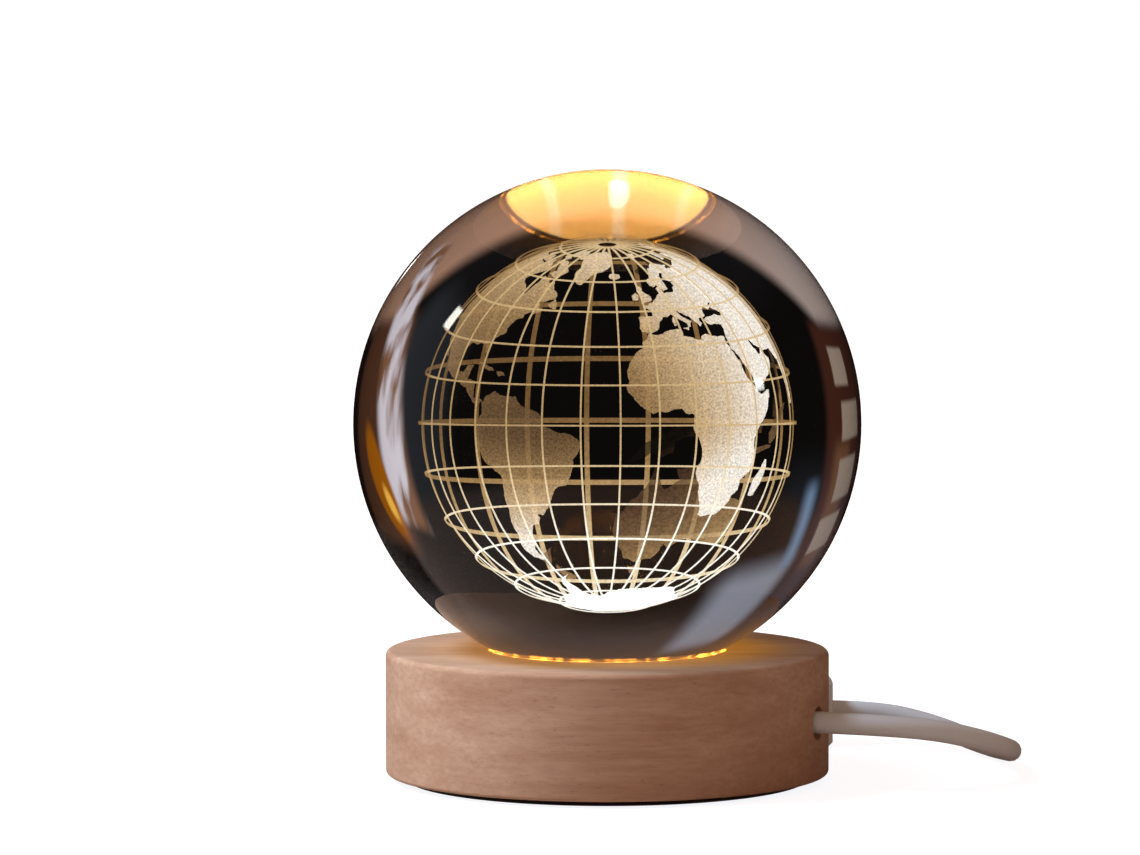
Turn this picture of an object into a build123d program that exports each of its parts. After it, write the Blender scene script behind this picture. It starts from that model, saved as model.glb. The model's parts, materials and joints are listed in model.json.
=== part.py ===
from build123d import *
import os
from math import asin, cos, dist, pi, radians, sin, sqrt, tan

# Crystal ball lamp: a glass ball with a globe engraved inside it, on a lit wooden base,
# with a USB lead that has a switch on it and is put away in a coil behind the base.
# Millimetres, +Z up, origin in the middle of the face that the lamp stands on.
# -Y is the front. The lead leaves the base to the right, a little towards the front.

os.makedirs("parts", exist_ok=True)

# Ball and base
ball_diameter = 80.0
base_diameter = 70.0
wood_height = 19.5
base_top_edge_radius = 0.9
base_bottom_edge_radius = 0.6
seat_diameter = 35.2  # the circle where the ball touches its cone
seat_land = 0.8  # the cone's width outside and inside that circle, in plan
seat_clearance = 0.1
cut_overrun = 0.5  # how far a cutting tool passes the face that it opens

# Pocket in the underside, and the non-slip pad that covers it
pocket_clearance = 5.5  # round the light board
pad_diameter = 64.0
pad_thickness = 1.0
pad_edge_chamfer = 0.3

# Light board
board_rim = 2.6  # from the middles of its screws to its edge
board_thickness = 1.6
light_gap = 2.5  # from the tops of the lights to the bottom of the ball
light_length = 3.5
light_width = 2.8
light_height = 0.7
light_window_diameter = 2.4
light_window_depth = 0.3
light_ring_diameter = 27.0
light_ring_count = 8
light_ring_angle = -7.5
resistor_length = 3.2
resistor_width = 1.6
resistor_height = 0.6
resistor_circle_diameter = 18.0
resistor_count = 3
resistor_angle = 40.0

# Screws that hold the board
screw_count = 3
screw_circle_diameter = 38.8
screw_angle = 40.0
screw_diameter = 2.0
screw_grip = 4.2  # the shank's length in the wood
screw_head_diameter = 3.8
screw_head_height = 1.3
screw_slot_width = 0.6
screw_slot_length = 2.2
screw_slot_depth = 0.7
screw_hole_clearance = 0.15
pilot_clearance = 0.05
pilot_extra_depth = 0.5

# Lead and where it leaves the base
cord_diameter = 3.4
cord_angle = -20.0  # degrees from +X, towards the front
cord_hole_diameter = 5.3
cord_hole_roof = 0.1  # what is left between the hole and the shelf
cord_hole_slack = 0.1  # how far the lead is held above the hole's middle
cord_end_clearance = 0.7  # from the board's edge out to the jacket's end in the pocket
tie_thickness = 0.8
tie_width = 2.4
tie_clearance = 0.05
tie_head_length = 4.2
tie_head_width = 4.0
tie_head_height = 2.6
tie_wall_gap = 0.3

# Wires and solder joints
wire_diameter = 1.2
wire_spacing = 1.5  # between the two wires where the jacket ends
solder_spacing = 5.6
solder_radius_from_axis = 15.0
solder_diameter = 2.8
solder_tip_diameter = 1.6
solder_drop = 0.1  # how far the joint reaches below its wire
wire_bend_radius = 2.0
wire_clearance = 0.3

# Globe that is engraved inside the ball
globe_diameter = 39.4
line_width = 0.22
layer_gap = 0.04
land_thickness = 0.22
grid_step = 15
first_meridian = -5
meridian_end_angle = 82.0
globe_tilt_angle = 3.1  # the north end leans away from the front
globe_facing_angle = -25.0  # the longitude that faces the front

# Free lead: its exit run, and where it is put away
exit_run = 9.3
coil_x = -3.8
coil_y = 76.2
coil_start_angle = 195.0
coil_outer_radius = 25.6
coil_radial_pitch = 4.6
coil_layer_pitch = 4.2
coil_bottom_half_turns = 5
coil_layer_half_turns = 4
coil_layers = 4
coil_lift = 0.7  # the room under the coil for its strap
strap_angle = 60.0
strap_thickness = 0.5
strap_width = 6.0
strap_clearance = 0.15

# Switch on the lead
switch_x = 17.4
switch_y = 42.0
switch_length = 40.0
switch_width = 12.5
switch_height = 11.0
switch_wall = 1.3
switch_corner_radius = 3.0
switch_edge_chamfer = 0.6
cord_entry = 3.5  # how far the lead reaches into the switch
cord_entry_clearance = 0.1
rocker_length = 12.4
rocker_width = 6.4
rocker_rise = 2.3  # from its pin to the tops of its two ends
rocker_dip = 1.2  # from its pin to the valley between them
rocker_depth = 2.2
rocker_foot_share = 0.7  # its foot's length as a share of its length
rocker_pin_diameter = 1.6
rocker_pin_depth = 0.7
rocker_clearance = 0.4
rocker_pin_clearance = 0.1
rocker_pivot_drop = 2.0  # from the switch's top face down to the pin
rocker_travel_angle = 18.0
contact_length = 8.0
contact_width = 4.0
contact_thickness = 0.5
contact_height = 3.6
contact_gap = 1.2
switch_screw_offset = 11.8
switch_screw_diameter = 2.0
switch_screw_length = 7.0
switch_screw_head_diameter = 3.4
switch_screw_head_height = 1.2
switch_boss_diameter = 4.4

# USB plug
plug_x = -2.0
plug_y = 109.9
relief_length = 6.0
relief_tip_diameter = 4.8
relief_root_diameter = 6.6
relief_groove_width = 0.8
relief_groove_depth = 0.5
relief_groove_count = 3
grip_length = 20.0
grip_width = 15.0
grip_height = 7.5
grip_corner_radius = 2.0
grip_edge_chamfer = 0.8
usb_width = 12.0
usb_height = 4.5
usb_wall = 0.3
usb_reach = 12.0  # how far the shell stands out of the grip
usb_sunk = 5.0
usb_window_size = 2.2
usb_window_from_tip = 5.2
usb_window_spacing = 5.4
tongue_thickness = 1.8
tongue_inset = 0.6
tongue_block_length = 4.0
usb_contact_width = 1.0
usb_contact_pitch = 2.4
usb_contact_thickness = 0.2
usb_contact_length = 8.0
usb_contact_count = 4

# Places that follow from the sizes above
ball_radius = ball_diameter / 2
base_radius = base_diameter / 2
board_diameter = screw_circle_diameter + 2 * board_rim
pocket_diameter = board_diameter + 2 * pocket_clearance
pocket_radius = pocket_diameter / 2
cord_inner_end = board_diameter / 2 + cord_end_clearance
wood_top = pad_thickness + wood_height
seat_radius = seat_diameter / 2
seat_slope = asin(seat_radius / ball_radius)
seat_rise = seat_land * tan(seat_slope)
ball_z = wood_top - seat_rise + sqrt(ball_radius**2 - seat_radius**2) + seat_clearance / cos(seat_slope)
well_radius = seat_radius - seat_land
board_top = ball_z - ball_radius - light_gap - light_height
board_bottom = board_top - board_thickness
cord_hole_height = board_top - cord_hole_roof - cord_hole_diameter / 2
cord_height = cord_hole_height + cord_hole_slack
cord_radius = cord_diameter / 2
exit_direction = Vector(cos(radians(cord_angle)), sin(radians(cord_angle)), 0)
exit_frame = Plane(origin=(0, 0, 0), x_dir=exit_direction, z_dir=(0, 0, 1))


def on_exit(along, across, height):
    """A place given along the lead's exit, across it and above the table."""
    return exit_frame.from_local_coords((along, across, height))


def facing_exit(along, height):
    """A plane square to the lead's exit, its X axis level and its Y axis up."""
    return Plane(origin=on_exit(along, 0, height), x_dir=exit_frame.y_dir, z_dir=exit_direction)


# Wooden base, turned: seat, light well and pocket are one profile
with BuildPart() as wooden_base:
    with BuildSketch(Plane.XZ):
        with BuildLine():
            Polyline(
                (well_radius, board_top),
                (well_radius, wood_top - 2 * seat_rise),
                (seat_radius + seat_land, wood_top),
                (base_radius, wood_top),
                (base_radius, pad_thickness),
                (pocket_radius, pad_thickness),
                (pocket_radius, board_top),
                close=True,
            )
        profile = make_face()
        outer = profile.vertices().group_by(Axis.X)[-1]
        fillet(outer.sort_by(Axis.Y)[-1], base_top_edge_radius)
    revolve(axis=Axis.Z)
    foot_circles = wooden_base.edges().filter_by(GeomType.CIRCLE).group_by(Axis.Z)[0]
    fillet(foot_circles.sort_by(SortBy.RADIUS)[-1], base_bottom_edge_radius)
    with BuildSketch(Plane.XY.offset(board_top)):
        with PolarLocations(screw_circle_diameter / 2, screw_count, start_angle=screw_angle):
            Circle(screw_diameter / 2 + pilot_clearance)
    extrude(amount=screw_grip + pilot_extra_depth, mode=Mode.SUBTRACT)
    with BuildSketch(facing_exit(pocket_radius - cut_overrun, cord_hole_height)):
        Circle(cord_hole_diameter / 2)
    extrude(amount=base_radius - pocket_radius + 2 * cut_overrun, mode=Mode.SUBTRACT)
wooden_base.part.label = "wooden_base"
export_step(wooden_base.part, "parts/wooden_base.step")

# Foam pad glued under the base
with BuildPart() as nonslip_pad:
    Cylinder(pad_diameter / 2, pad_thickness, align=(Align.CENTER, Align.CENTER, Align.MIN))
    chamfer(nonslip_pad.edges().group_by(Axis.Z)[0], pad_edge_chamfer)
nonslip_pad.part.label = "nonslip_pad"
export_step(nonslip_pad.part, "parts/nonslip_pad.step")

# Round circuit board, screwed up against the shelf around the light well
with BuildPart() as led_board:
    with BuildSketch(Plane.XY.offset(board_bottom)):
        Circle(board_diameter / 2)
        with PolarLocations(screw_circle_diameter / 2, screw_count, start_angle=screw_angle):
            Circle(screw_diameter / 2 + screw_hole_clearance, mode=Mode.SUBTRACT)
    extrude(amount=board_thickness)
led_board.part.label = "led_board"
export_step(led_board.part, "parts/led_board.step")

# Lights: one in the middle and a ring around it, each a white body with a round window
with BuildPart() as led_packages:
    with BuildSketch(Plane.XY.offset(board_top)):
        Rectangle(light_width, light_length)
        with PolarLocations(light_ring_diameter / 2, light_ring_count, start_angle=light_ring_angle):
            Rectangle(light_width, light_length)
    extrude(amount=light_height)
    with BuildSketch(Plane.XY.offset(board_top + light_height)):
        Circle(light_window_diameter / 2)
        with PolarLocations(light_ring_diameter / 2, light_ring_count, start_angle=light_ring_angle):
            Circle(light_window_diameter / 2)
    extrude(amount=-light_window_depth, mode=Mode.SUBTRACT)
led_packages.part.label = "led_packages"
export_step(led_packages.part, "parts/led_packages.step")

# Yellow phosphor that fills each window level with its rim
with BuildPart() as led_phosphor:
    with BuildSketch(Plane.XY.offset(board_top + light_height - light_window_depth)):
        Circle(light_window_diameter / 2)
        with PolarLocations(light_ring_diameter / 2, light_ring_count, start_angle=light_ring_angle):
            Circle(light_window_diameter / 2)
    extrude(amount=light_window_depth)
led_phosphor.part.label = "led_phosphor"
export_step(led_phosphor.part, "parts/led_phosphor.step")

# Chip resistors on the board's underside
with BuildPart() as chip_resistors:
    with BuildSketch(Plane.XY.offset(board_bottom)):
        with PolarLocations(resistor_circle_diameter / 2, resistor_count, start_angle=resistor_angle):
            Rectangle(resistor_width, resistor_length)
    extrude(amount=-resistor_height)
chip_resistors.part.label = "chip_resistors"
export_step(chip_resistors.part, "parts/chip_resistors.step")

# Pan head screws, driven from below through the board into the wood
with BuildPart() as board_screws:
    with BuildSketch(Plane.XY.offset(board_bottom)):
        with PolarLocations(screw_circle_diameter / 2, screw_count, start_angle=screw_angle):
            Circle(screw_head_diameter / 2)
    extrude(amount=-screw_head_height)
    chamfer(board_screws.edges().group_by(Axis.Z)[0], screw_head_height / 3)
    with BuildSketch(Plane.XY.offset(board_bottom)):
        with PolarLocations(screw_circle_diameter / 2, screw_count, start_angle=screw_angle):
            Circle(screw_diameter / 2)
    extrude(amount=board_thickness + screw_grip)
    with BuildSketch(Plane.XY.offset(board_bottom - screw_head_height)):
        with PolarLocations(screw_circle_diameter / 2, screw_count, start_angle=screw_angle):
            Rectangle(screw_slot_length, screw_slot_width)
            Rectangle(screw_slot_width, screw_slot_length)
    extrude(amount=screw_slot_depth, mode=Mode.SUBTRACT)
board_screws.part.label = "board_screws"
export_step(board_screws.part, "parts/board_screws.step")

# Lead inside the base: its jacket from the pocket to the mouth of the hole
with BuildPart() as cord_lead:
    with BuildSketch(facing_exit(cord_inner_end, cord_height)):
        Circle(cord_radius)
    extrude(amount=base_radius - cord_inner_end)
cord_lead.part.label = "cord_lead"
export_step(cord_lead.part, "parts/cord_lead.step")

# Cable tie round the lead, which stops it from being pulled out through the hole
tie_outer = cord_radius + tie_clearance + tie_thickness
tie_start = pocket_radius - tie_wall_gap - tie_width
with BuildPart() as cable_tie:
    with BuildSketch(facing_exit(tie_start, cord_height)):
        Circle(tie_outer)
        with Locations((0, -tie_outer - tie_head_height / 2 + tie_thickness)):
            Rectangle(tie_head_width, tie_head_height)
        Circle(cord_radius + tie_clearance, mode=Mode.SUBTRACT)
    extrude(amount=tie_width)
cable_tie.part.label = "cable_tie"
export_step(cable_tie.part, "parts/cable_tie.step")

# Red and black wires from the jacket to the board, and the solder that holds them
wire_radius = wire_diameter / 2
wires = {}
for name, side in (("red_wire", 1), ("black_wire", -1)):
    with BuildPart() as wire:
        with BuildLine() as run:
            FilletPolyline(
                on_exit(cord_inner_end, side * wire_spacing / 2, cord_height),
                on_exit(cord_inner_end - wire_bend_radius, side * wire_spacing / 2, cord_height),
                on_exit(solder_radius_from_axis + wire_bend_radius, side * solder_spacing / 2, cord_height),
                on_exit(solder_radius_from_axis, side * solder_spacing / 2, cord_height),
                radius=wire_bend_radius,
            )
        with BuildSketch(Plane(origin=run.wire() @ 0, z_dir=run.wire() % 0)):
            Circle(wire_radius)
        sweep()
    wire.part.label = name
    export_step(wire.part, f"parts/{name}.step")
    wires[name] = wire.part

solder_bottom = cord_height - wire_radius - solder_drop
with BuildPart() as solder_joints:
    for side in (1, -1):
        spot = on_exit(solder_radius_from_axis, side * solder_spacing / 2, 0)
        with BuildSketch(Plane.XY.offset(board_bottom)):
            with Locations((spot.X, spot.Y)):
                Circle(solder_diameter / 2)
        with BuildSketch(Plane.XY.offset(solder_bottom)):
            with Locations((spot.X, spot.Y)):
                Circle(solder_tip_diameter / 2)
        loft()
    add(list(wires.values()), mode=Mode.SUBTRACT)
solder_joints.part.label = "solder_joints"
export_step(solder_joints.part, "parts/solder_joints.step")

# Glass ball
with BuildPart() as crystal_ball:
    with Locations((0, 0, ball_z)):
        Sphere(ball_radius)
crystal_ball.part.label = "crystal_ball"
export_step(crystal_ball.part, "parts/crystal_ball.step")

# Globe engraved in the ball. Its lines and lands lie in three layers, outermost first:
# parallels, meridians, lands. None of them touches another.
tilt = radians(globe_tilt_angle)
spin = radians(-90 - globe_facing_angle)
globe_frame = Plane(
    origin=(0, 0, ball_z),
    x_dir=(cos(spin), sin(spin) * cos(tilt), -sin(spin) * sin(tilt)),
    z_dir=(0, sin(tilt), cos(tilt)),
)
globe_radius = globe_diameter / 2
parallel_radius = globe_radius - line_width / 2
meridian_radius = parallel_radius - line_width - layer_gap
land_outer = meridian_radius - line_width / 2 - layer_gap
land_inner = land_outer - land_thickness


def globe_direction(latitude, longitude):
    """The direction from the globe's middle to a place on it."""
    north, east = radians(latitude), radians(longitude)
    local = Vector(cos(north) * cos(east), cos(north) * sin(east), sin(north))
    return globe_frame.from_local_coords(local) - globe_frame.origin


with BuildPart() as engraved_parallels:
    with BuildSketch(Plane(origin=globe_frame.origin, x_dir=globe_frame.x_dir, z_dir=-globe_frame.y_dir)):
        for latitude in range(-90 + grid_step, 90, grid_step):
            with Locations(Rot(0, 0, latitude) * Pos(parallel_radius, 0)):
                Rectangle(line_width, line_width)
    revolve(axis=Axis(globe_frame.origin, globe_frame.z_dir))
engraved_parallels.part.label = "engraved_parallels"
export_step(engraved_parallels.part, "parts/engraved_parallels.step")

line_in = meridian_radius - line_width / 2
line_out = meridian_radius + line_width / 2
with BuildPart() as engraved_meridians:
    for longitude in range(first_meridian, first_meridian + 360, grid_step):
        east = globe_direction(0, longitude)
        with BuildSketch(Plane(origin=globe_frame.origin, x_dir=east, z_dir=east.cross(globe_frame.z_dir))):
            with BuildLine():
                outer_arc = CenterArc((0, 0), line_out, -meridian_end_angle, 2 * meridian_end_angle)
                inner_arc = CenterArc((0, 0), line_in, -meridian_end_angle, 2 * meridian_end_angle)
                Line(outer_arc @ 0, inner_arc @ 0)
                Line(outer_arc @ 1, inner_arc @ 1)
            make_face()
        extrude(amount=line_width / 2, both=True)
engraved_meridians.part.label = "engraved_meridians"
export_step(engraved_meridians.part, "parts/engraved_meridians.step")

# Coasts as (latitude, longitude) in degrees, each land with the place at its middle
lands = {
    "engraved_africa": [(
        (3, 18),
        [
            (35.8, -5.9), (37.2, 10), (33, 11), (30.3, 19), (32.7, 22), (31.2, 32.3), (22, 37), (15.5, 39.7),
            (11.5, 43.2), (11.8, 51.2), (4, 47.8), (-2, 41), (-10.5, 40.4), (-15, 40.7), (-20, 35), (-25.5, 33),
            (-34, 26), (-34.6, 20), (-28.5, 16.3), (-17, 11.8), (-6, 12.2), (4, 9.2), (6.2, 2.5), (4.5, -7.5),
            (9, -13.3), (14.7, -17.4), (21, -17), (28, -12.5),
        ],
    ), (
        (-19, 47),
        [(-12, 49.3), (-16, 50.2), (-25, 47), (-25.3, 44.2), (-19, 44.4)],
    )],
    "engraved_europe": [(
        (52, 18),
        [
            (36.2, -5.5), (40, 0), (43.3, 3.5), (44.2, 9), (38, 15.8), (40.3, 18), (45.5, 13), (36.8, 22.5),
            (41, 29), (46.5, 31), (44.5, 37.5), (47, 39.8), (67.5, 40), (69.8, 31), (71, 25), (62, 5.2),
            (58.2, 7), (54.5, 9), (53.4, 6), (48.6, -4.5), (43.5, -1.6), (43.6, -8.8), (37, -8.9),
        ],
    ), (
        (54, -3),
        [(50.2, -5.3), (51.2, 1.3), (53, 0.5), (58.6, -3.2), (57, -6), (53.3, -4.4)],
    ), (
        (65, -18.5),
        [(63.4, -19), (65, -13.7), (66.3, -16), (65.8, -24), (64, -22.5)],
    )],
    "engraved_asia": [(
        (42, 92),
        [
            (41.3, 40.2), (36.5, 36), (31, 34.4), (28, 34.8), (21, 39.2), (12.8, 43.5), (17, 55.5), (22.5, 59.8),
            (29.9, 48.5), (25.2, 61.5), (24.5, 67.5), (21, 70.5), (8.2, 77.5), (15.8, 80.5), (22, 89.5),
            (16.3, 95.5), (8, 98.5), (1.6, 103.8), (13, 100.8), (9, 105.2), (12, 109.3), (20.5, 107.5),
            (22.8, 114.5), (30.5, 122), (38.5, 118.5), (34.8, 127.5), (43, 131.8), (53.5, 141), (59.5, 151),
            (51.3, 157), (62, 172), (66, 189), (70, 160), (72.5, 140), (77, 104), (72.5, 76), (68, 60), (67, 41),
            (47, 41),
        ],
    ), (
        (38, 138),
        [(31.3, 130.8), (35, 140), (45, 142), (41, 140), (35.5, 133)],
    ), (
        (-2, 111),
        [(5.5, 95.5), (0.5, 104), (7, 117), (-4, 116), (-8.6, 115), (-6.5, 105.5)],
    )],
    "engraved_australia": [(
        (-26, 134),
        [
            (-12, 131), (-12.2, 136.8), (-17.5, 140), (-11, 142.5), (-19, 146.8), (-25, 153), (-33, 152),
            (-38.5, 147), (-35, 138), (-31.5, 131), (-34.5, 119), (-31.8, 115.7), (-22, 113.8), (-14.5, 126),
        ],
    ), (
        (-5, 141),
        [(-0.8, 131.5), (-3, 140), (-10.5, 150.5), (-8.5, 142), (-4.5, 133.5)],
    )],
    "engraved_south_america": [(
        (-18, -60),
        [
            (12.2, -71.5), (10.5, -62.5), (4.2, -51.5), (-2.7, -42), (-5.3, -35.3), (-8.5, -35), (-13, -38.6),
            (-23, -42), (-28, -48.6), (-34.8, -54.5), (-38.8, -58.5), (-41, -63.5), (-50, -68.5), (-54.9, -66.5),
            (-52, -74.5), (-40, -73.5), (-18.4, -70.4), (-14, -76.2), (-6.2, -81), (1.5, -79), (8.5, -77.3),
        ],
    )],
    "engraved_north_america": [(
        (46, -98),
        [
            (8.8, -78.5), (8, -82), (15.8, -95), (20, -105.5), (31, -113.5), (23.2, -109.6), (34, -119.5),
            (48.3, -124.6), (59.5, -141), (55, -162), (65.6, -168), (71.3, -156.5), (69.5, -125), (72, -94),
            (68.5, -82), (60.5, -94), (55.3, -83), (51.5, -79), (62.3, -77.5), (59, -66), (52.3, -56),
            (46, -61), (44, -68.5), (35.2, -76), (30.5, -81.4), (25.3, -80.6), (30, -84.5), (29.3, -94.8),
            (21, -97.3), (18.6, -92), (21.3, -87.5), (15.8, -87.5), (14.8, -83.5), (9.6, -80),
        ],
    ), (
        (69, -74),
        [(62, -67), (66.5, -62), (73, -79), (71, -88), (66, -74)],
    )],
    "engraved_greenland": [(
        (73, -42),
        [(60, -44), (65.5, -39), (70, -23), (77, -19), (82, -22), (83, -35), (78, -72), (75.5, -59), (68, -53)],
    )],
    "engraved_antarctica": [(
        (-90, 0),
        [
            (-63.6, -57), (-73, -61), (-77, -38), (-71, -10), (-69.5, 15), (-67, 50), (-68.5, 75), (-66, 95),
            (-66.2, 125), (-69, 160), (-78, 168), (-77.5, -160), (-74.5, -130), (-72.5, -95), (-67, -68),
        ],
    )],
}
near_plane_share = 0.45  # where a coast's cone starts, between the globe's middle and its surface


def coast_cone(middle, coast):
    """The ruled cone that the coast sweeps from near the globe's middle to past its surface."""
    towards = globe_direction(*middle)
    with BuildPart() as cone:
        for distance in (near_plane_share * land_inner, land_outer + cut_overrun):
            plane = Plane(origin=globe_frame.origin + towards * distance, z_dir=towards)
            with BuildSketch(plane):
                points = []
                for latitude, longitude in coast:
                    ray = globe_direction(latitude, longitude)
                    hit = globe_frame.origin + ray * (distance / ray.dot(towards))
                    flat = plane.to_local_coords(hit)
                    points.append((flat.X, flat.Y))
                with BuildLine():
                    Polyline(*points, close=True)
                make_face()
        loft(ruled=True)
    return cone.part


with BuildPart() as land_shell:
    with Locations(globe_frame.origin):
        Sphere(land_outer)
        Sphere(land_inner, mode=Mode.SUBTRACT)

for name, patches in lands.items():
    cones = [coast_cone(middle, coast) for middle, coast in patches]
    with BuildPart() as land:
        add(cones)
        add(land_shell.part, mode=Mode.INTERSECT)
    land.part.label = name
    export_step(land.part, f"parts/{name}.step")


def run_radii(points):
    """The arc at each corner of a lead's route: 0.45 of the shorter run over tan(half the turn)."""
    corner_share = 0.45
    radii = []
    for before, corner, after in zip(points, points[1:], points[2:]):
        shorter = min((corner - before).length, (after - corner).length)
        turn = radians((corner - before).get_angle(after - corner))
        radii.append(corner_share * shorter / tan(turn / 2))
    return radii


def lead_tube(name, points):
    """A free stretch of the lead along its route, with its volume compared to length times section."""
    points = [Vector(*point) for point in points]
    radii = run_radii(points)
    with BuildPart() as tube:
        with BuildLine() as route:
            FilletPolyline(*points, radius=radii)
        with BuildSketch(Plane(origin=route.wire() @ 0, z_dir=route.wire() % 0)):
            Circle(cord_radius)
        sweep()
    length = route.wire().length
    shown = ", ".join(f"{radius:.1f}" for radius in radii)
    filled_share = tube.part.volume / (length * pi * cord_radius**2)
    print(f"{name}: length {length:.1f}, radii {shown}, filled share {filled_share:.4f}")
    tube.part.label = name
    export_step(tube.part, f"parts/{name}.step")
    return length


# Coil: half turns that spiral in and out, and climb a layer where the spiral reverses
half_steps = []
for layer in range(coil_layers):
    flat_turns = coil_bottom_half_turns if layer == 0 else coil_layer_half_turns
    inward = -1 if layer % 2 == 0 else 1
    half_steps += [(inward, 0)] * flat_turns
    if layer < coil_layers - 1:
        half_steps.append((0, 1))

coil_rest = coil_lift + cord_radius
reach, height = coil_outer_radius, coil_rest
coil_ends = []
for number, (step, climb) in enumerate([(0, 0)] + half_steps):
    reach += step * coil_radial_pitch / 2
    height += climb * coil_layer_pitch
    angle = radians(coil_start_angle + 180 * number)
    coil_ends.append(Vector(coil_x + reach * cos(angle), coil_y + reach * sin(angle), height))
coil_heading = Vector(cos(radians(coil_start_angle - 90)), sin(radians(coil_start_angle - 90)), 0)
coil_in = coil_ends[0] - coil_heading * cord_diameter
coil_out = coil_ends[-1] + coil_heading * cord_diameter


def half_turn_point(number, share):
    """A point on one half turn of the coil, from 0 at its start to 1 at its end."""
    start, end = coil_ends[number], coil_ends[number + 1]
    middle = (start + end) * 0.5
    side = radians(coil_start_angle - 90 - 180 * number)
    outward = Vector(cos(side), sin(side), 0) * (middle - start).length
    return middle + (start - middle) * cos(pi * share) + outward * sin(pi * share)


with BuildPart() as cord_coil:
    with BuildLine() as winding:
        Line(coil_in, coil_ends[0])
        for number in range(len(half_steps)):
            ThreePointArc(coil_ends[number], half_turn_point(number, 0.5), coil_ends[number + 1])
        Line(coil_ends[-1], coil_out)
    with BuildSketch(Plane(origin=coil_in, z_dir=coil_heading)):
        Circle(cord_radius)
    sweep()
cord_coil.part.label = "cord_coil"
export_step(cord_coil.part, "parts/cord_coil.step")

points_per_half_turn = 36
track = [
    half_turn_point(number, step / points_per_half_turn)
    for number in range(len(half_steps))
    for step in range(points_per_half_turn)
]
coil_length = winding.wire().length
coil_gap = min(
    dist(tuple(track[first]), tuple(track[second])) - cord_diameter
    for first in range(len(track))
    for second in range(first + points_per_half_turn, len(track))
)
tightest = min((end - start).length / 2 for start, end in zip(coil_ends, coil_ends[1:]))
print(f"cord_coil: length {coil_length:.1f}, least gap {coil_gap:.2f}, tightest radius {tightest:.1f}")

# Strap that holds the coil: a flat band round its bundle of turns
bundle_inner = coil_outer_radius - coil_bottom_half_turns * coil_radial_pitch / 2 - cord_radius - strap_clearance
bundle_outer = coil_outer_radius + cord_radius + strap_clearance
bundle_bottom = coil_rest - cord_radius - strap_clearance
bundle_top = coil_ends[-1].Z + cord_radius + strap_clearance
strap_out = Vector(cos(radians(strap_angle)), sin(radians(strap_angle)), 0)
with BuildPart() as coil_strap:
    strap_middle = Vector(coil_x, coil_y, (bundle_bottom + bundle_top) / 2)
    strap_middle += strap_out * ((bundle_inner + bundle_outer) / 2)
    with BuildSketch(Plane(origin=strap_middle, x_dir=strap_out, z_dir=strap_out.cross(Vector(0, 0, 1)))):
        strap_round = cord_radius + strap_clearance
        RectangleRounded(
            bundle_outer - bundle_inner + 2 * strap_thickness,
            bundle_top - bundle_bottom + 2 * strap_thickness,
            strap_round + strap_thickness,
        )
        RectangleRounded(bundle_outer - bundle_inner, bundle_top - bundle_bottom, strap_round, mode=Mode.SUBTRACT)
    extrude(amount=strap_width / 2, both=True)
coil_strap.part.label = "coil_strap"
export_step(coil_strap.part, "parts/coil_strap.step")

# Free stretches of the lead, as routes of points
switch_right = switch_x + switch_length / 2
switch_left = switch_x - switch_length / 2
switch_middle = switch_height / 2
exit_point = on_exit(base_radius, 0, cord_height)
stretch_lengths = [
    lead_tube("cord_to_switch", [
        exit_point,
        exit_point + exit_direction * exit_run,
        (51.2, -14.0, 9.4),
        (59.1, -8.6, 7.0),
        (63.9, 0.0, 4.4),
        (64.9, 13.4, 2.4),
        (61.4, 26.6, 1.75),
        (54.0, 36.7, 3.9),
        (44.4, switch_y, switch_middle),
        (switch_right - cord_entry, switch_y, switch_middle),
    ]),
    lead_tube("cord_to_coil", [
        (switch_left + cord_entry, switch_y, switch_middle),
        (-8.4, switch_y, switch_middle),
        (-17.1, 45.9, 3.5),
        coil_in - coil_heading * 11.3,
        coil_in,
    ]),
    lead_tube("cord_to_plug", [
        coil_out,
        coil_out + coil_heading * 8.8,
        (-27.6, 95.6, 11.6),
        (-21.8, 104.9, 6.2),
        (-11.8, plug_y, grip_height / 2),
        (plug_x, plug_y, grip_height / 2),
    ]),
]
print(f"whole lead: {sum(stretch_lengths) + coil_length + base_radius - cord_inner_end:.0f}")

# Switch: two shells that meet at half height
switch_frame = Plane(origin=(switch_x, switch_y, 0))
inner_length = switch_length - 2 * switch_wall
inner_width = switch_width - 2 * switch_wall
pivot_height = switch_height - rocker_pivot_drop
entry_radius = cord_radius + cord_entry_clearance
screw_spots = [(-switch_screw_offset, 0), (switch_screw_offset, 0)]
entry_planes = [
    Plane(origin=(switch_left - cut_overrun, switch_y, switch_middle), z_dir=(1, 0, 0)),
    Plane(origin=(switch_right + cut_overrun, switch_y, switch_middle), z_dir=(-1, 0, 0)),
]

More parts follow.
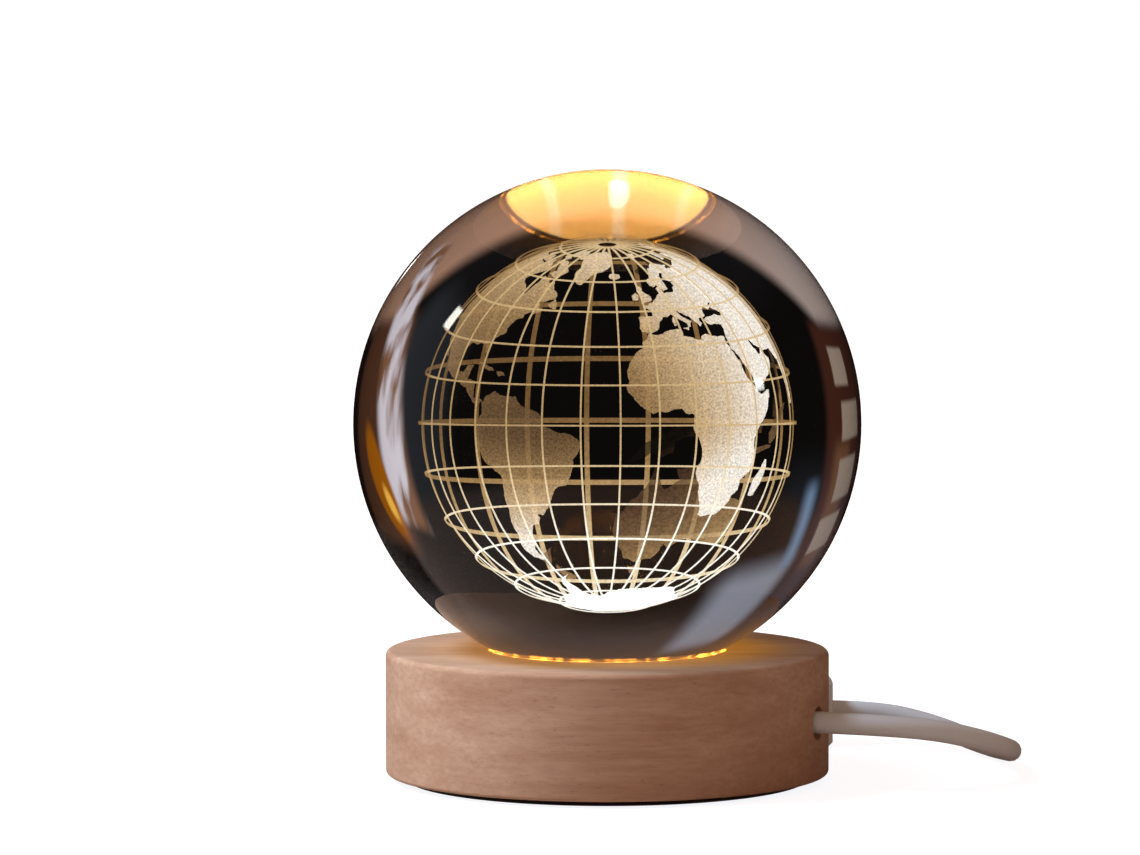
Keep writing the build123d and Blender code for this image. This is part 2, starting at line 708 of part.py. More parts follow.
with BuildPart() as switch_lower_shell:
    with BuildSketch(switch_frame):
        RectangleRounded(switch_length, switch_width, switch_corner_radius)
    extrude(amount=switch_middle)
    chamfer(switch_lower_shell.edges().group_by(Axis.Z)[0], switch_edge_chamfer)
    with BuildSketch(switch_frame.offset(switch_wall)):
        RectangleRounded(inner_length, inner_width, switch_corner_radius - switch_wall)
    extrude(amount=switch_middle, mode=Mode.SUBTRACT)
    with BuildSketch(switch_frame.offset(switch_wall)):
        with Locations(screw_spots):
            Circle(switch_boss_diameter / 2)
    extrude(amount=switch_middle - switch_wall)
    with BuildSketch(switch_frame):
        with Locations(screw_spots):
            Circle(switch_screw_diameter / 2 + screw_hole_clearance)
    extrude(amount=switch_middle, mode=Mode.SUBTRACT)
    with BuildSketch(switch_frame):
        with Locations(screw_spots):
            Circle(switch_screw_head_diameter / 2 + screw_hole_clearance)
    extrude(amount=switch_screw_head_height + screw_hole_clearance, mode=Mode.SUBTRACT)
    with BuildSketch(*entry_planes):
        Circle(entry_radius)
    extrude(amount=switch_wall + 2 * cut_overrun, mode=Mode.SUBTRACT)
switch_lower_shell.part.label = "switch_lower_shell"
export_step(switch_lower_shell.part, "parts/switch_lower_shell.step")

with BuildPart() as switch_upper_shell:
    with BuildSketch(switch_frame.offset(switch_middle)):
        RectangleRounded(switch_length, switch_width, switch_corner_radius)
    extrude(amount=switch_middle)
    chamfer(switch_upper_shell.edges().group_by(Axis.Z)[-1], switch_edge_chamfer)
    with BuildSketch(switch_frame.offset(switch_middle)):
        RectangleRounded(inner_length, inner_width, switch_corner_radius - switch_wall)
    extrude(amount=switch_middle - switch_wall, mode=Mode.SUBTRACT)
    with BuildSketch(switch_frame.offset(switch_middle)):
        with Locations(screw_spots):
            Circle(switch_boss_diameter / 2)
    extrude(amount=switch_middle - switch_wall)
    with BuildSketch(switch_frame.offset(switch_middle)):
        with Locations(screw_spots):
            Circle(switch_screw_diameter / 2 + pilot_clearance)
    extrude(amount=switch_middle - switch_wall, mode=Mode.SUBTRACT)
    with BuildSketch(switch_frame.offset(switch_height - switch_wall)):
        Rectangle(rocker_length + 2 * rocker_clearance, rocker_width + 2 * rocker_clearance)
    extrude(amount=switch_wall, mode=Mode.SUBTRACT)
    with BuildSketch(Plane(origin=(switch_x, switch_y, pivot_height), z_dir=(0, 1, 0))):
        Circle(rocker_pin_diameter / 2 + rocker_pin_clearance)
    extrude(amount=inner_width / 2 + rocker_pin_depth, both=True, mode=Mode.SUBTRACT)
    with BuildSketch(*entry_planes):
        Circle(entry_radius)
    extrude(amount=switch_wall + 2 * cut_overrun, mode=Mode.SUBTRACT)
switch_upper_shell.part.label = "switch_upper_shell"
export_step(switch_upper_shell.part, "parts/switch_upper_shell.step")

# Rocker, shown switched on: its left end is down, and it tips over its pin
rocker_plane = Plane(origin=(switch_x, switch_y, pivot_height), x_dir=(1, 0, 0), z_dir=(0, -1, 0))
with BuildPart() as switch_rocker:
    with BuildSketch(rocker_plane):
        with BuildLine():
            Polyline(
                (-rocker_length / 2, rocker_rise),
                (0, rocker_dip),
                (rocker_length / 2, rocker_rise),
                (rocker_foot_share * rocker_length / 2, -rocker_depth),
                (-rocker_foot_share * rocker_length / 2, -rocker_depth),
                close=True,
            )
        make_face()
    extrude(amount=rocker_width / 2, both=True)
    with BuildSketch(rocker_plane):
        Circle(rocker_pin_diameter / 2)
    extrude(amount=inner_width / 2 + rocker_pin_depth - rocker_pin_clearance, both=True)
rocker_pin_axis = Axis((switch_x, switch_y, pivot_height), (0, 1, 0))
rocker_on = switch_rocker.part.rotate(rocker_pin_axis, -rocker_travel_angle / 2)
rocker_on.label = "switch_rocker"
export_step(rocker_on, "parts/switch_rocker.step")

# Brass contacts on the switch's floor, one each side of its middle
with BuildPart() as switch_contacts:
    for side in (1, -1):
        with BuildSketch(Plane(origin=(switch_x, switch_y, switch_wall), x_dir=(1, 0, 0), z_dir=(0, -1, 0))):
            with BuildLine():
                Polyline(
                    (side * contact_gap / 2, 0),
                    (side * (contact_gap / 2 + contact_length), 0),
                    (side * (contact_gap / 2 + contact_length), contact_thickness),
                    (side * (contact_gap / 2 + contact_thickness), contact_thickness),
                    (side * (contact_gap / 2 + contact_thickness), contact_height),
                    (side * contact_gap / 2, contact_height),
                    close=True,
                )
            make_face()
        extrude(amount=contact_width / 2, both=True)
switch_contacts.part.label = "switch_contacts"
export_step(switch_contacts.part, "parts/switch_contacts.step")

# Wires in the switch: one passes straight through beside the bosses, and the switched one
# comes in from each side, round its boss and down to its contact
lane = switch_boss_diameter / 2 + wire_radius + wire_clearance
lead_height = switch_wall + contact_thickness + wire_radius
with BuildPart() as switch_wires:
    for side in (1, -1):
        cord_end = switch_length / 2 - cord_entry
        with BuildLine() as switched:
            FilletPolyline(
                (switch_x + side * cord_end, switch_y + wire_spacing / 2, switch_middle),
                (switch_x + side * (cord_end - wire_diameter), switch_y + wire_spacing / 2, switch_middle),
                (switch_x + side * (cord_end - 2 * wire_diameter), switch_y + lane, switch_middle),
                (switch_x + side * (switch_screw_offset - lane), switch_y + lane, lead_height),
                (switch_x + side * (contact_length - wire_diameter), switch_y, lead_height),
                (switch_x + side * (contact_length - 3 * wire_diameter), switch_y, lead_height),
                radius=wire_radius,
            )
        with BuildSketch(Plane(origin=switched.wire() @ 0, z_dir=switched.wire() % 0)):
            Circle(wire_radius)
        sweep()
    with BuildLine() as through:
        FilletPolyline(
            (switch_x - cord_end, switch_y - wire_spacing / 2, switch_middle),
            (switch_x - cord_end + wire_diameter, switch_y - wire_spacing / 2, switch_middle),
            (switch_x - cord_end + 2 * wire_diameter, switch_y - lane, switch_middle),
            (switch_x + cord_end - 2 * wire_diameter, switch_y - lane, switch_middle),
            (switch_x + cord_end - wire_diameter, switch_y - wire_spacing / 2, switch_middle),
            (switch_x + cord_end, switch_y - wire_spacing / 2, switch_middle),
            radius=wire_radius,
        )
    with BuildSketch(Plane(origin=through.wire() @ 0, z_dir=through.wire() % 0)):
        Circle(wire_radius)
    sweep()
switch_wires.part.label = "switch_wires"
export_step(switch_wires.part, "parts/switch_wires.step")

# Screws that close the switch from below
with BuildPart() as switch_screws:
    with BuildSketch(switch_frame.offset(screw_hole_clearance)):
        with Locations(screw_spots):
            Circle(switch_screw_head_diameter / 2)
    extrude(amount=switch_screw_head_height)
    with BuildSketch(switch_frame.offset(screw_hole_clearance)):
        with Locations(screw_spots):
            Circle(switch_screw_diameter / 2)
    extrude(amount=switch_screw_head_height + switch_screw_length)
    with BuildSketch(switch_frame.offset(screw_hole_clearance)):
        with Locations(screw_spots):
            Rectangle(screw_slot_length, screw_slot_width)
            Rectangle(screw_slot_width, screw_slot_length)
    extrude(amount=screw_slot_depth, mode=Mode.SUBTRACT)
switch_screws.part.label = "switch_screws"
export_step(switch_screws.part, "parts/switch_screws.step")

# USB plug: moulded grip with its strain relief, steel shell, white tongue and gold contacts
plug_frame = Plane(origin=(plug_x, plug_y, grip_height / 2), x_dir=(0, 1, 0), z_dir=(1, 0, 0))
grip_start = relief_length
grip_end = grip_start + grip_length
shell_start = grip_end - usb_sunk
shell_end = grip_end + usb_reach

with BuildPart() as usb_grip:
    with BuildSketch(plug_frame.offset(grip_start)):
        RectangleRounded(grip_width, grip_height, grip_corner_radius)
    extrude(amount=grip_length)
    chamfer(usb_grip.edges().group_by(Axis.X)[0], grip_edge_chamfer)
    with BuildSketch(plug_frame):
        Circle(relief_tip_diameter / 2)
    with BuildSketch(plug_frame.offset(relief_length)):
        Circle(relief_root_diameter / 2)
    loft()
    groove_step = relief_length / (relief_groove_count + 1)
    for groove in range(relief_groove_count):
        with BuildSketch(plug_frame.offset(groove_step * (groove + 1) - relief_groove_width / 2)):
            Circle(relief_root_diameter)
            Circle(relief_tip_diameter / 2 - relief_groove_depth, mode=Mode.SUBTRACT)
        extrude(amount=relief_groove_width, mode=Mode.SUBTRACT)
    with BuildSketch(plug_frame.offset(shell_start)):
        Rectangle(usb_width, usb_height)
    extrude(amount=usb_sunk, mode=Mode.SUBTRACT)
usb_grip.part.label = "usb_grip"
export_step(usb_grip.part, "parts/usb_grip.step")

with BuildPart() as usb_shell:
    with BuildSketch(plug_frame.offset(shell_start)):
        Rectangle(usb_width, usb_height)
        Rectangle(usb_width - 2 * usb_wall, usb_height - 2 * usb_wall, mode=Mode.SUBTRACT)
    extrude(amount=shell_end - shell_start)
    with BuildSketch(Plane(origin=(plug_x + shell_end - usb_window_from_tip, plug_y, 0))):
        with Locations((0, usb_window_spacing / 2), (0, -usb_window_spacing / 2)):
            Rectangle(usb_window_size, usb_window_size)
    extrude(amount=grip_height, mode=Mode.SUBTRACT)
usb_shell.part.label = "usb_shell"
export_step(usb_shell.part, "parts/usb_shell.step")

tongue_top = usb_height / 2 - usb_wall
with BuildPart() as usb_insulator:
    with BuildSketch(plug_frame.offset(shell_start)):
        Rectangle(usb_width - 2 * usb_wall, usb_height - 2 * usb_wall)
    extrude(amount=tongue_block_length)
    with BuildSketch(plug_frame.offset(shell_start + tongue_block_length)):
        with Locations((0, tongue_top - tongue_thickness / 2)):
            Rectangle(usb_width - 2 * usb_wall, tongue_thickness)
    extrude(amount=shell_end - shell_start - tongue_block_length - tongue_inset)
usb_insulator.part.label = "usb_insulator"
export_step(usb_insulator.part, "parts/usb_insulator.step")

with BuildPart() as usb_contacts:
    with BuildSketch(plug_frame.offset(shell_start + tongue_block_length)):
        with Locations((0, tongue_top - tongue_thickness - usb_contact_thickness / 2)):
            with GridLocations(usb_contact_pitch, 0, usb_contact_count, 1):
                Rectangle(usb_contact_width, usb_contact_thickness)
    extrude(amount=usb_contact_length)
usb_contacts.part.label = "usb_contacts"
export_step(usb_contacts.part, "parts/usb_contacts.step")
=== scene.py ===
"""Crystal ball lamp: a glass ball with a globe engraved inside it, on a lit round beech base.

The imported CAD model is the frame: +Z up, -Y the front, metres, origin under the base.
Lengths in the classes are millimetres, and MM turns them into metres.
"""
import json
import logging
import math
import random
from collections.abc import Callable, Iterable, Sequence
from dataclasses import dataclass
from enum import Enum

import bmesh
import bpy
from mathutils import Matrix, Vector


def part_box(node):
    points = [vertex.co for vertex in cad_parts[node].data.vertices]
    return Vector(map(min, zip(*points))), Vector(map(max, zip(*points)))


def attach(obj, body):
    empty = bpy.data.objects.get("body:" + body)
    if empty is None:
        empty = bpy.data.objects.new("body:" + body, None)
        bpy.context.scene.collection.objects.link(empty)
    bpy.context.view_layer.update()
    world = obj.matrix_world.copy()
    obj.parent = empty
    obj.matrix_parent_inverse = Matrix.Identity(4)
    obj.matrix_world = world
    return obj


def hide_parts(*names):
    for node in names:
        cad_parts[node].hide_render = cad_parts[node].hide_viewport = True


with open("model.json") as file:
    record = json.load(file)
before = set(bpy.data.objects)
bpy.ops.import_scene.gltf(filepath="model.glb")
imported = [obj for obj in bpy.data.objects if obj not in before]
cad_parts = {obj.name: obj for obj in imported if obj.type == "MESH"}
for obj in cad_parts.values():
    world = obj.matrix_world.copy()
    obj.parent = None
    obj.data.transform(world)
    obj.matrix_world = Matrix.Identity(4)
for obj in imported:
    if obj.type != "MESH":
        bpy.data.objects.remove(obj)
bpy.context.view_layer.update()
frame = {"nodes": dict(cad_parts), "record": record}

log = logging.getLogger("lamp")
MM = 0.001
BLACK = (0.0, 0.0, 0.0)
CLOSE = 1e-7  # points of a mesh that lie nearer than this are one, in metres
NOISE_LOW, NOISE_HIGH = 0.3, 0.7  # what a noise texture seldom passes
SHARP_ANGLE = math.radians(35)
Colour = tuple[float, float, float]
Point = tuple[float, float, float]
Pair = tuple[float, float]
Socket = bpy.types.NodeSocket
Value = Socket | float | Colour
Material = bpy.types.Material
Piece = bpy.types.Object
Mesh = bmesh.types.BMesh


class Body(Enum):
    """The CAD bodies that the new pieces ride on."""

    BASE = "base"
    BALL = "ball"


def srgb(red: int, green: int, blue: int) -> Colour:
    """Turns an sRGB colour into a linear one.

    Args:
        red: From 0 to 255.
        green: From 0 to 255.
        blue: From 0 to 255.

    Returns:
        The linear colour.
    """
    return tuple(
        value / 12.92 if value <= 0.04045 else ((value + 0.055) / 1.055) ** 2.4
        for value in (red / 255, green / 255, blue / 255)
    )


class Graph:
    """A node tree and short ways to add to it."""

    def __init__(self, tree: bpy.types.NodeTree) -> None:
        """Empties the tree.

        Args:
            tree: The node tree of a material or a world.
        """
        self.tree = tree
        tree.nodes.clear()

    def feed(self, node: bpy.types.Node, socket: str | int, value: Value) -> None:
        """Links an input socket, or sets it.

        Args:
            node: The node that has the socket.
            socket: The input's name or number.
            value: An output to link, or a constant.
        """
        target = node.inputs[socket]
        if isinstance(value, Socket):
            self.tree.links.new(value, target)
        elif isinstance(value, tuple) and len(value) == 3 and target.type == "RGBA":
            target.default_value = (*value, 1.0)
        else:
            target.default_value = value

    def add(self, kind: str, inputs: dict[str | int, Value] | None = None,
            **settings: object) -> bpy.types.Node:
        """Adds a node.

        Args:
            kind: The node's type, without its ShaderNode prefix.
            inputs: Constants or outputs by input socket.
            settings: The node's own properties.

        Returns:
            The new node.
        """
        node = self.tree.nodes.new("ShaderNode" + kind)
        for name, value in settings.items():
            setattr(node, name, value)
        for socket, value in (inputs or {}).items():
            self.feed(node, socket, value)
        return node

    def math(self, operation: str, *values: Value) -> Socket:
        """Adds a Math node.

        Args:
            operation: What it does.
            values: Its inputs in order, each an output or a constant.

        Returns:
            Its result.
        """
        node = self.add("Math", operation=operation)
        for place, value in enumerate(values):
            self.feed(node, place, value)
        return node.outputs[0]

    def span(self, value: Value, low: float, high: float, to_low: float, to_high: float,
             smooth: bool = False) -> Socket:
        """Moves a value from one range to another and holds it at the range's ends.

        Args:
            value: What to move.
            low: Start of the range it comes from.
            high: End of the range it comes from.
            to_low: What low becomes.
            to_high: What high becomes.
            smooth: Whether it eases in and out.

        Returns:
            The moved value.
        """
        kind = "SMOOTHSTEP" if smooth else "LINEAR"
        node = self.add("MapRange", interpolation_type=kind)
        for socket, number in zip(range(5), (value, low, high, to_low, to_high)):
            self.feed(node, socket, number)
        return node.outputs[0]

    def mix(self, share: Value, first: Value, second: Value, blend: str = "MIX") -> Socket:
        """Mixes two colours.

        Args:
            share: How much of the second there is.
            first: The first colour.
            second: The second colour.
            blend: How they mix.

        Returns:
            The mixed colour.
        """
        node = self.add("Mix", data_type="RGBA", blend_type=blend, clamp_factor=True)
        self.feed(node, 0, share)
        self.feed(node, 6, first)
        self.feed(node, 7, second)
        return node.outputs[2]

    def noise(self, vector: Value, scale: float, detail: float = 2.0, roughness: float = 0.5) -> Socket:
        """Returns a noise value from 0 to 1."""
        inputs = {"Vector": vector, "Scale": scale, "Detail": detail, "Roughness": roughness}
        return self.add("TexNoise", inputs).outputs["Fac"]

    def stretched(self, vector: Value, scale: Point) -> Socket:
        """Returns a vector scaled along each axis."""
        return self.add("Mapping", {"Vector": vector, "Scale": scale}).outputs[0]

    def wrapped(self, angle: Value) -> Socket:
        """Returns an angle in degrees as one from -180 to 180."""
        return self.math("WRAP", angle, 180.0, -180.0)

    def length(self, vector: Value) -> Socket:
        """Returns a vector's length."""
        return self.add("VectorMath", {0: vector}, operation="LENGTH").outputs["Value"]

    def place(self) -> Socket:
        """Returns the point's own place on the piece, in metres."""
        return self.add("TexCoord").outputs["Object"]

    def bump(self, height: Value, strength: float, distance: float) -> Socket:
        """Returns a normal bumped by a height."""
        return self.add("Bump", {"Height": height, "Strength": strength, "Distance": distance}).outputs[0]

    def finish(self, shader: Socket, kind: str = "OutputMaterial") -> None:
        """Links a shader to the tree's output."""
        self.add(kind, {"Surface": shader})


def direct_view(graph: Graph, strength: float) -> Socket:
    """Dims a glow to nothing for light that would reach a matt surface through the ball.

    Args:
        graph: The glowing material's graph.
        strength: The strength otherwise.

    Returns:
        The glow's strength.
    """
    path = graph.add("LightPath").outputs
    bounced = graph.math("MINIMUM", path["Diffuse Depth"], 1.0)
    stray = graph.math("MULTIPLY", path["Is Transmission Ray"], bounced)
    return graph.math("MULTIPLY", graph.math("SUBTRACT", 1.0, stray), strength)


def new_material(name: str) -> tuple[Material, Graph]:
    """Starts a finish.

    Args:
        name: The material's name.

    Returns:
        An empty material and its graph.
    """
    material = bpy.data.materials.new(name)
    material.use_nodes = True
    return material, Graph(material.node_tree)


@dataclass(frozen=True)
class Moulded:
    """Plastic, rubber, foam or lacquer: a colour with fine mottling and a slight texture."""

    name: str
    colour: Colour
    roughness: float = 0.4
    mottle: float = 0.06
    grain: float = 900.0
    bump: float = 0.05
    metallic: float = 0.0
    coat: float = 0.0
    broad_share: float = 12.0
    rough_spread: float = 0.1
    bump_depth: float = 0.05 * MM

    def build(self) -> Material:
        """Mixes the finish.

        Returns:
            The material.
        """
        material, graph = new_material(self.name)
        place = graph.place()
        fine = graph.noise(place, self.grain, 3.0)
        broad = graph.noise(place, self.grain / self.broad_share, 2.0)
        dark = tuple(part * (1 - self.mottle) for part in self.colour)
        light = tuple(min(part * (1 + self.mottle), 1.0) for part in self.colour)
        colour = graph.mix(broad, dark, light)
        spread = self.roughness * self.rough_spread
        rough = graph.span(fine, NOISE_LOW, NOISE_HIGH, self.roughness - spread, self.roughness + spread)
        shader = graph.add("BsdfPrincipled", {
            "Base Color": colour, "Roughness": rough, "Metallic": self.metallic,
            "Coat Weight": self.coat, "Normal": graph.bump(fine, self.bump, self.bump_depth),
        })
        graph.finish(shader.outputs[0])
        return material


@dataclass(frozen=True)
class Beech:
    """Sanded beech: horizontal grain, soft growth bands and the short dark flecks of beech.

    Round the ball the wood has a painted glow, emission that stands in for the light from the
    well: brightest on the well's wall behind each light, and orange where light leaks out along
    the seat. Near the seat the top's colour also holds a painted warm shade. Lengths are metres.
    """

    well: float
    seat: float
    top: float
    light_count: int = 8
    light_angle: float = -7.5
    name: str = "beech"
    light: Colour = srgb(208, 166, 137)
    dark: Colour = srgb(180, 134, 105)
    fleck: Colour = srgb(144, 98, 72)
    # Painted warm shade: the ball's shadow and the lights' warm spill, multiplied into the top's colour near
    # the seat.
    painted_shade_tint: Colour = (1.0, 0.86, 0.42)
    painted_shade_reach: Pair = (2 * MM, 15 * MM)
    painted_shade_side: Pair = (-26 * MM, -6 * MM)
    painted_shade_left: float = 0.25
    top_skin: float = 1 * MM
    rough_range: Pair = (0.48, 0.65)
    specular: float = 0.35
    bump: float = 0.25
    bump_depth: float = 0.08 * MM
    fleck_bump: float = -0.6
    drift_scale: Point = (9, 26, 40)
    band_scale: Point = (14, 90, 240)
    fibre_scale: Point = (110, 900, 1500)
    fleck_scale: Point = (420, 3600, 3600)
    drift_edges: Pair = (0.35, 0.75)
    band_edges: Pair = (0.33, 0.68)
    fibre_edges: Pair = (0.3, 0.75)
    fleck_edges: Pair = (0.66, 0.74)
    drift_share: float = 0.55
    fibre_share: float = 0.35
    fleck_share: float = 0.45
    # Painted glow: emission colours that stand in for the lights' light on the well's wall, its spots and
    # edge, the seat and the top.
    wall_glow: Colour = (11.0, 5.3, 1.15)
    spot_glow: Colour = (12.5, 12.0, 9.0)
    edge_glow: Colour = (0.5, 0.2, 0.04)
    seat_glow: Colour = (5.0, 1.7, 0.15)
    spill_glow: Colour = (0.2, 0.07, 0.0)
    glow_depth: float = 7.5 * MM
    spot_depth: float = 6.4 * MM
    spot_height: float = 0.85 * MM
    spot_spread: float = 0.45
    spot_edge: Pair = (0.25, 1.3)
    streak: float = 0.32
    streak_spread: float = 0.8
    brightest_angle: float = -85.0
    bright_reach: Pair = (0.75, 1.0)
    dimmest_spot: float = 0.45
    wall_edge: Pair = (0.2 * MM, 0.8 * MM)
    dash_scale: Point = (500, 500, 60)
    dash_edges: Pair = (0.46, 0.68)
    dash_strength: Pair = (0.25, 3.0)
    leak_reach: Pair = (0.1 * MM, 0.5 * MM)
    spill_reach: float = 14 * MM
    seat_inset: float = 0.4 * MM

    def grain(self, graph: Graph, place: Socket) -> tuple[Socket, ...]:
        """Paints the wood's grain, and a painted warm shade on the top near the seat.

        Args:
            graph: The material's graph.
            place: The point's place on the base.

        Returns:
            The wood's colour, roughness and normal.
        """
        drift = graph.noise(graph.stretched(place, self.drift_scale), 1.0, 3.0)
        bands = graph.noise(graph.stretched(place, self.band_scale), 1.0, 4.0, 0.6)
        fibres = graph.noise(graph.stretched(place, self.fibre_scale), 1.0, 3.0, 0.6)
        flecks = graph.noise(graph.stretched(place, self.fleck_scale), 1.0, 1.0)
        colour = graph.mix(graph.span(bands, *self.band_edges, 0.0, 1.0), self.light, self.dark)
        colour = graph.mix(graph.span(drift, *self.drift_edges, 0.0, self.drift_share), colour, self.dark)
        colour = graph.mix(graph.span(flecks, *self.fleck_edges, 0.0, self.fleck_share), colour, self.fleck)
        colour = graph.mix(graph.span(fibres, *self.fibre_edges, 0.0, self.fibre_share), colour, self.fleck)
        # Painted warm shade: the top's colour darkened and warmed near the seat, most at the right.
        shaded = graph.mix(1.0, colour, self.painted_shade_tint, "MULTIPLY")
        colour = graph.mix(self.painted_shade_share(graph, place), colour, shaded)
        rough = graph.span(fibres, NOISE_LOW, NOISE_HIGH, *self.rough_range)
        height = graph.math("MULTIPLY_ADD", flecks, self.fleck_bump, fibres)
        return colour, rough, graph.bump(height, self.bump, self.bump_depth)

    def painted_shade_share(self, graph: Graph, place: Socket) -> Socket:
        """Works out the share of the painted warm shade on the top's colour, most near the seat and at the
        right.

        Args:
            graph: The material's graph.
            place: The point's place on the base.

        Returns:
            A share from 0 to 1.
        """
        near, far = (self.seat + reach for reach in self.painted_shade_reach)
        share = graph.span(self.reach(graph, place), near, far, 1.0, 0.0, smooth=True)
        x, _, z = graph.add("SeparateXYZ", {0: place}).outputs
        aside = graph.span(x, *self.painted_shade_side, self.painted_shade_left, 1.0, smooth=True)
        share = graph.math("MULTIPLY", share, aside)
        return graph.math("MULTIPLY", share, graph.math("GREATER_THAN", z, self.top - self.top_skin))

    def reach(self, graph: Graph, place: Socket) -> Socket:
        """Returns how far a point lies from the base's axis."""
        return graph.length(graph.stretched(place, (1.0, 1.0, 0.0)))

    def spots(self, graph: Graph, around: Socket, z: Socket) -> Socket:
        """Paints a round spot of glow and a faint streak on the well's wall behind each light.

        Args:
            graph: The material's graph.
            around: The point's angle round the base's axis, in radians.
            z: The point's height.

        Returns:
            How much of the spots' glow a point has.
        """
        first = -self.light_count * math.radians(self.light_angle)
        turns = graph.math("MULTIPLY_ADD", around, self.light_count, first)
        aside = graph.math("SUBTRACT", 1.0, graph.math("COSINE", turns))
        aside = graph.math("DIVIDE", aside, self.spot_spread)
        rise = graph.math("DIVIDE", graph.math("ADD", z, self.spot_depth - self.top), self.spot_height)
        far = graph.math("MULTIPLY_ADD", rise, rise, aside)
        streak = graph.span(aside, 0.0, self.streak_spread, self.streak, 0.0, smooth=True)
        streak = graph.math("MULTIPLY", streak, graph.span(rise, 0.0, 1.0, 0.0, 1.0))
        spot = graph.math("MAXIMUM", graph.span(far, *self.spot_edge, 1.0, 0.0, smooth=True), streak)
        facing = graph.math("COSINE", graph.math("SUBTRACT", around, math.radians(self.brightest_angle)))
        return graph.math("MULTIPLY", spot, graph.span(facing, *self.bright_reach, self.dimmest_spot, 1.0))

    def leak(self, graph: Graph, place: Socket, out: Socket) -> Socket:
        """Paints the light that leaks out along the seat as glow: uneven dashes and a faint spill on the
        top.

        Args:
            graph: The material's graph.
            place: The point's place on the base.
            out: How far the point lies from the base's axis.

        Returns:
            The leak's colour.
        """
        near, far = (self.seat + reach for reach in self.leak_reach)
        rim = graph.mix(graph.span(out, near, far, 1.0, 0.0), BLACK, self.seat_glow)
        dashes = graph.noise(graph.stretched(place, self.dash_scale), 1.0, 1.0)
        dashes = graph.span(dashes, *self.dash_edges, *self.dash_strength)
        grey = graph.add("CombineXYZ", {0: dashes, 1: dashes, 2: dashes}).outputs[0]
        rim = graph.mix(1.0, rim, grey, "MULTIPLY")
        spilled = graph.span(out, far, self.seat + self.spill_reach, 1.0, 0.0, smooth=True)
        return graph.mix(1.0, rim, graph.mix(spilled, BLACK, self.spill_glow), "ADD")

    def glow(self, graph: Graph, place: Socket) -> Socket:
        """Joins the painted glow of the wall and of the leak.

        Args:
            graph: The material's graph.
            place: The point's place on the base.

        Returns:
            The painted glow's colour, which the wood sends out as emission.
        """
        x, y, z = graph.add("SeparateXYZ", {0: place}).outputs
        out = self.reach(graph, place)
        around = graph.math("ARCTAN2", y, x)
        wall = graph.mix(self.spots(graph, around, z), self.wall_glow, self.spot_glow)
        near, far = (self.well + reach for reach in self.wall_edge)
        wall = graph.mix(graph.span(out, near, far, 0.0, 1.0, smooth=True), wall, self.edge_glow)
        inside = graph.math("LESS_THAN", out, self.seat - self.seat_inset)
        glow = graph.mix(inside, self.leak(graph, place, out), wall)
        return graph.mix(graph.math("GREATER_THAN", z, self.top - self.glow_depth), BLACK, glow)

    def build(self) -> Material:
        """Mixes the finish.

        Returns:
            The material.
        """
        material, graph = new_material(self.name)
        place = graph.place()
        colour, rough, normal = self.grain(graph, place)
        # The wood's emission is painted glow that stands in for the light from the well.
        shader = graph.add("BsdfPrincipled", {
            "Base Color": colour, "Roughness": rough, "Specular IOR Level": self.specular, "Normal": normal,
            "Emission Color": self.glow(graph, place), "Emission Strength": direct_view(graph, 1.0),
        })
        graph.finish(shader.outputs[0])
        material.cycles.emission_sampling = "NONE"
        return material


@dataclass(frozen=True)
class Crystal:
    """Clear optical glass. Lamps shine straight through it, which keeps the light in the base clean."""

    name: str = "crystal"
    index: float = 1.517
    tint: Colour = (1.0, 1.0, 1.0)
    shade: float = 0.5

    def build(self) -> Material:
        """Mixes the finish.

        Returns:
            The material.
        """
        material, graph = new_material(self.name)
        glass = graph.add("BsdfPrincipled", {
            "Base Color": self.tint, "Roughness": 0.0, "IOR": self.index, "Transmission Weight": 1.0,
        })
        clear = graph.add("BsdfTransparent", {"Color": (self.shade,) * 3})
        shadow = graph.add("LightPath").outputs["Is Shadow Ray"]
        both = graph.add("MixShader", {0: shadow, 1: glass.outputs[0], 2: clear.outputs[0]})
        graph.finish(both.outputs[0])
        return material


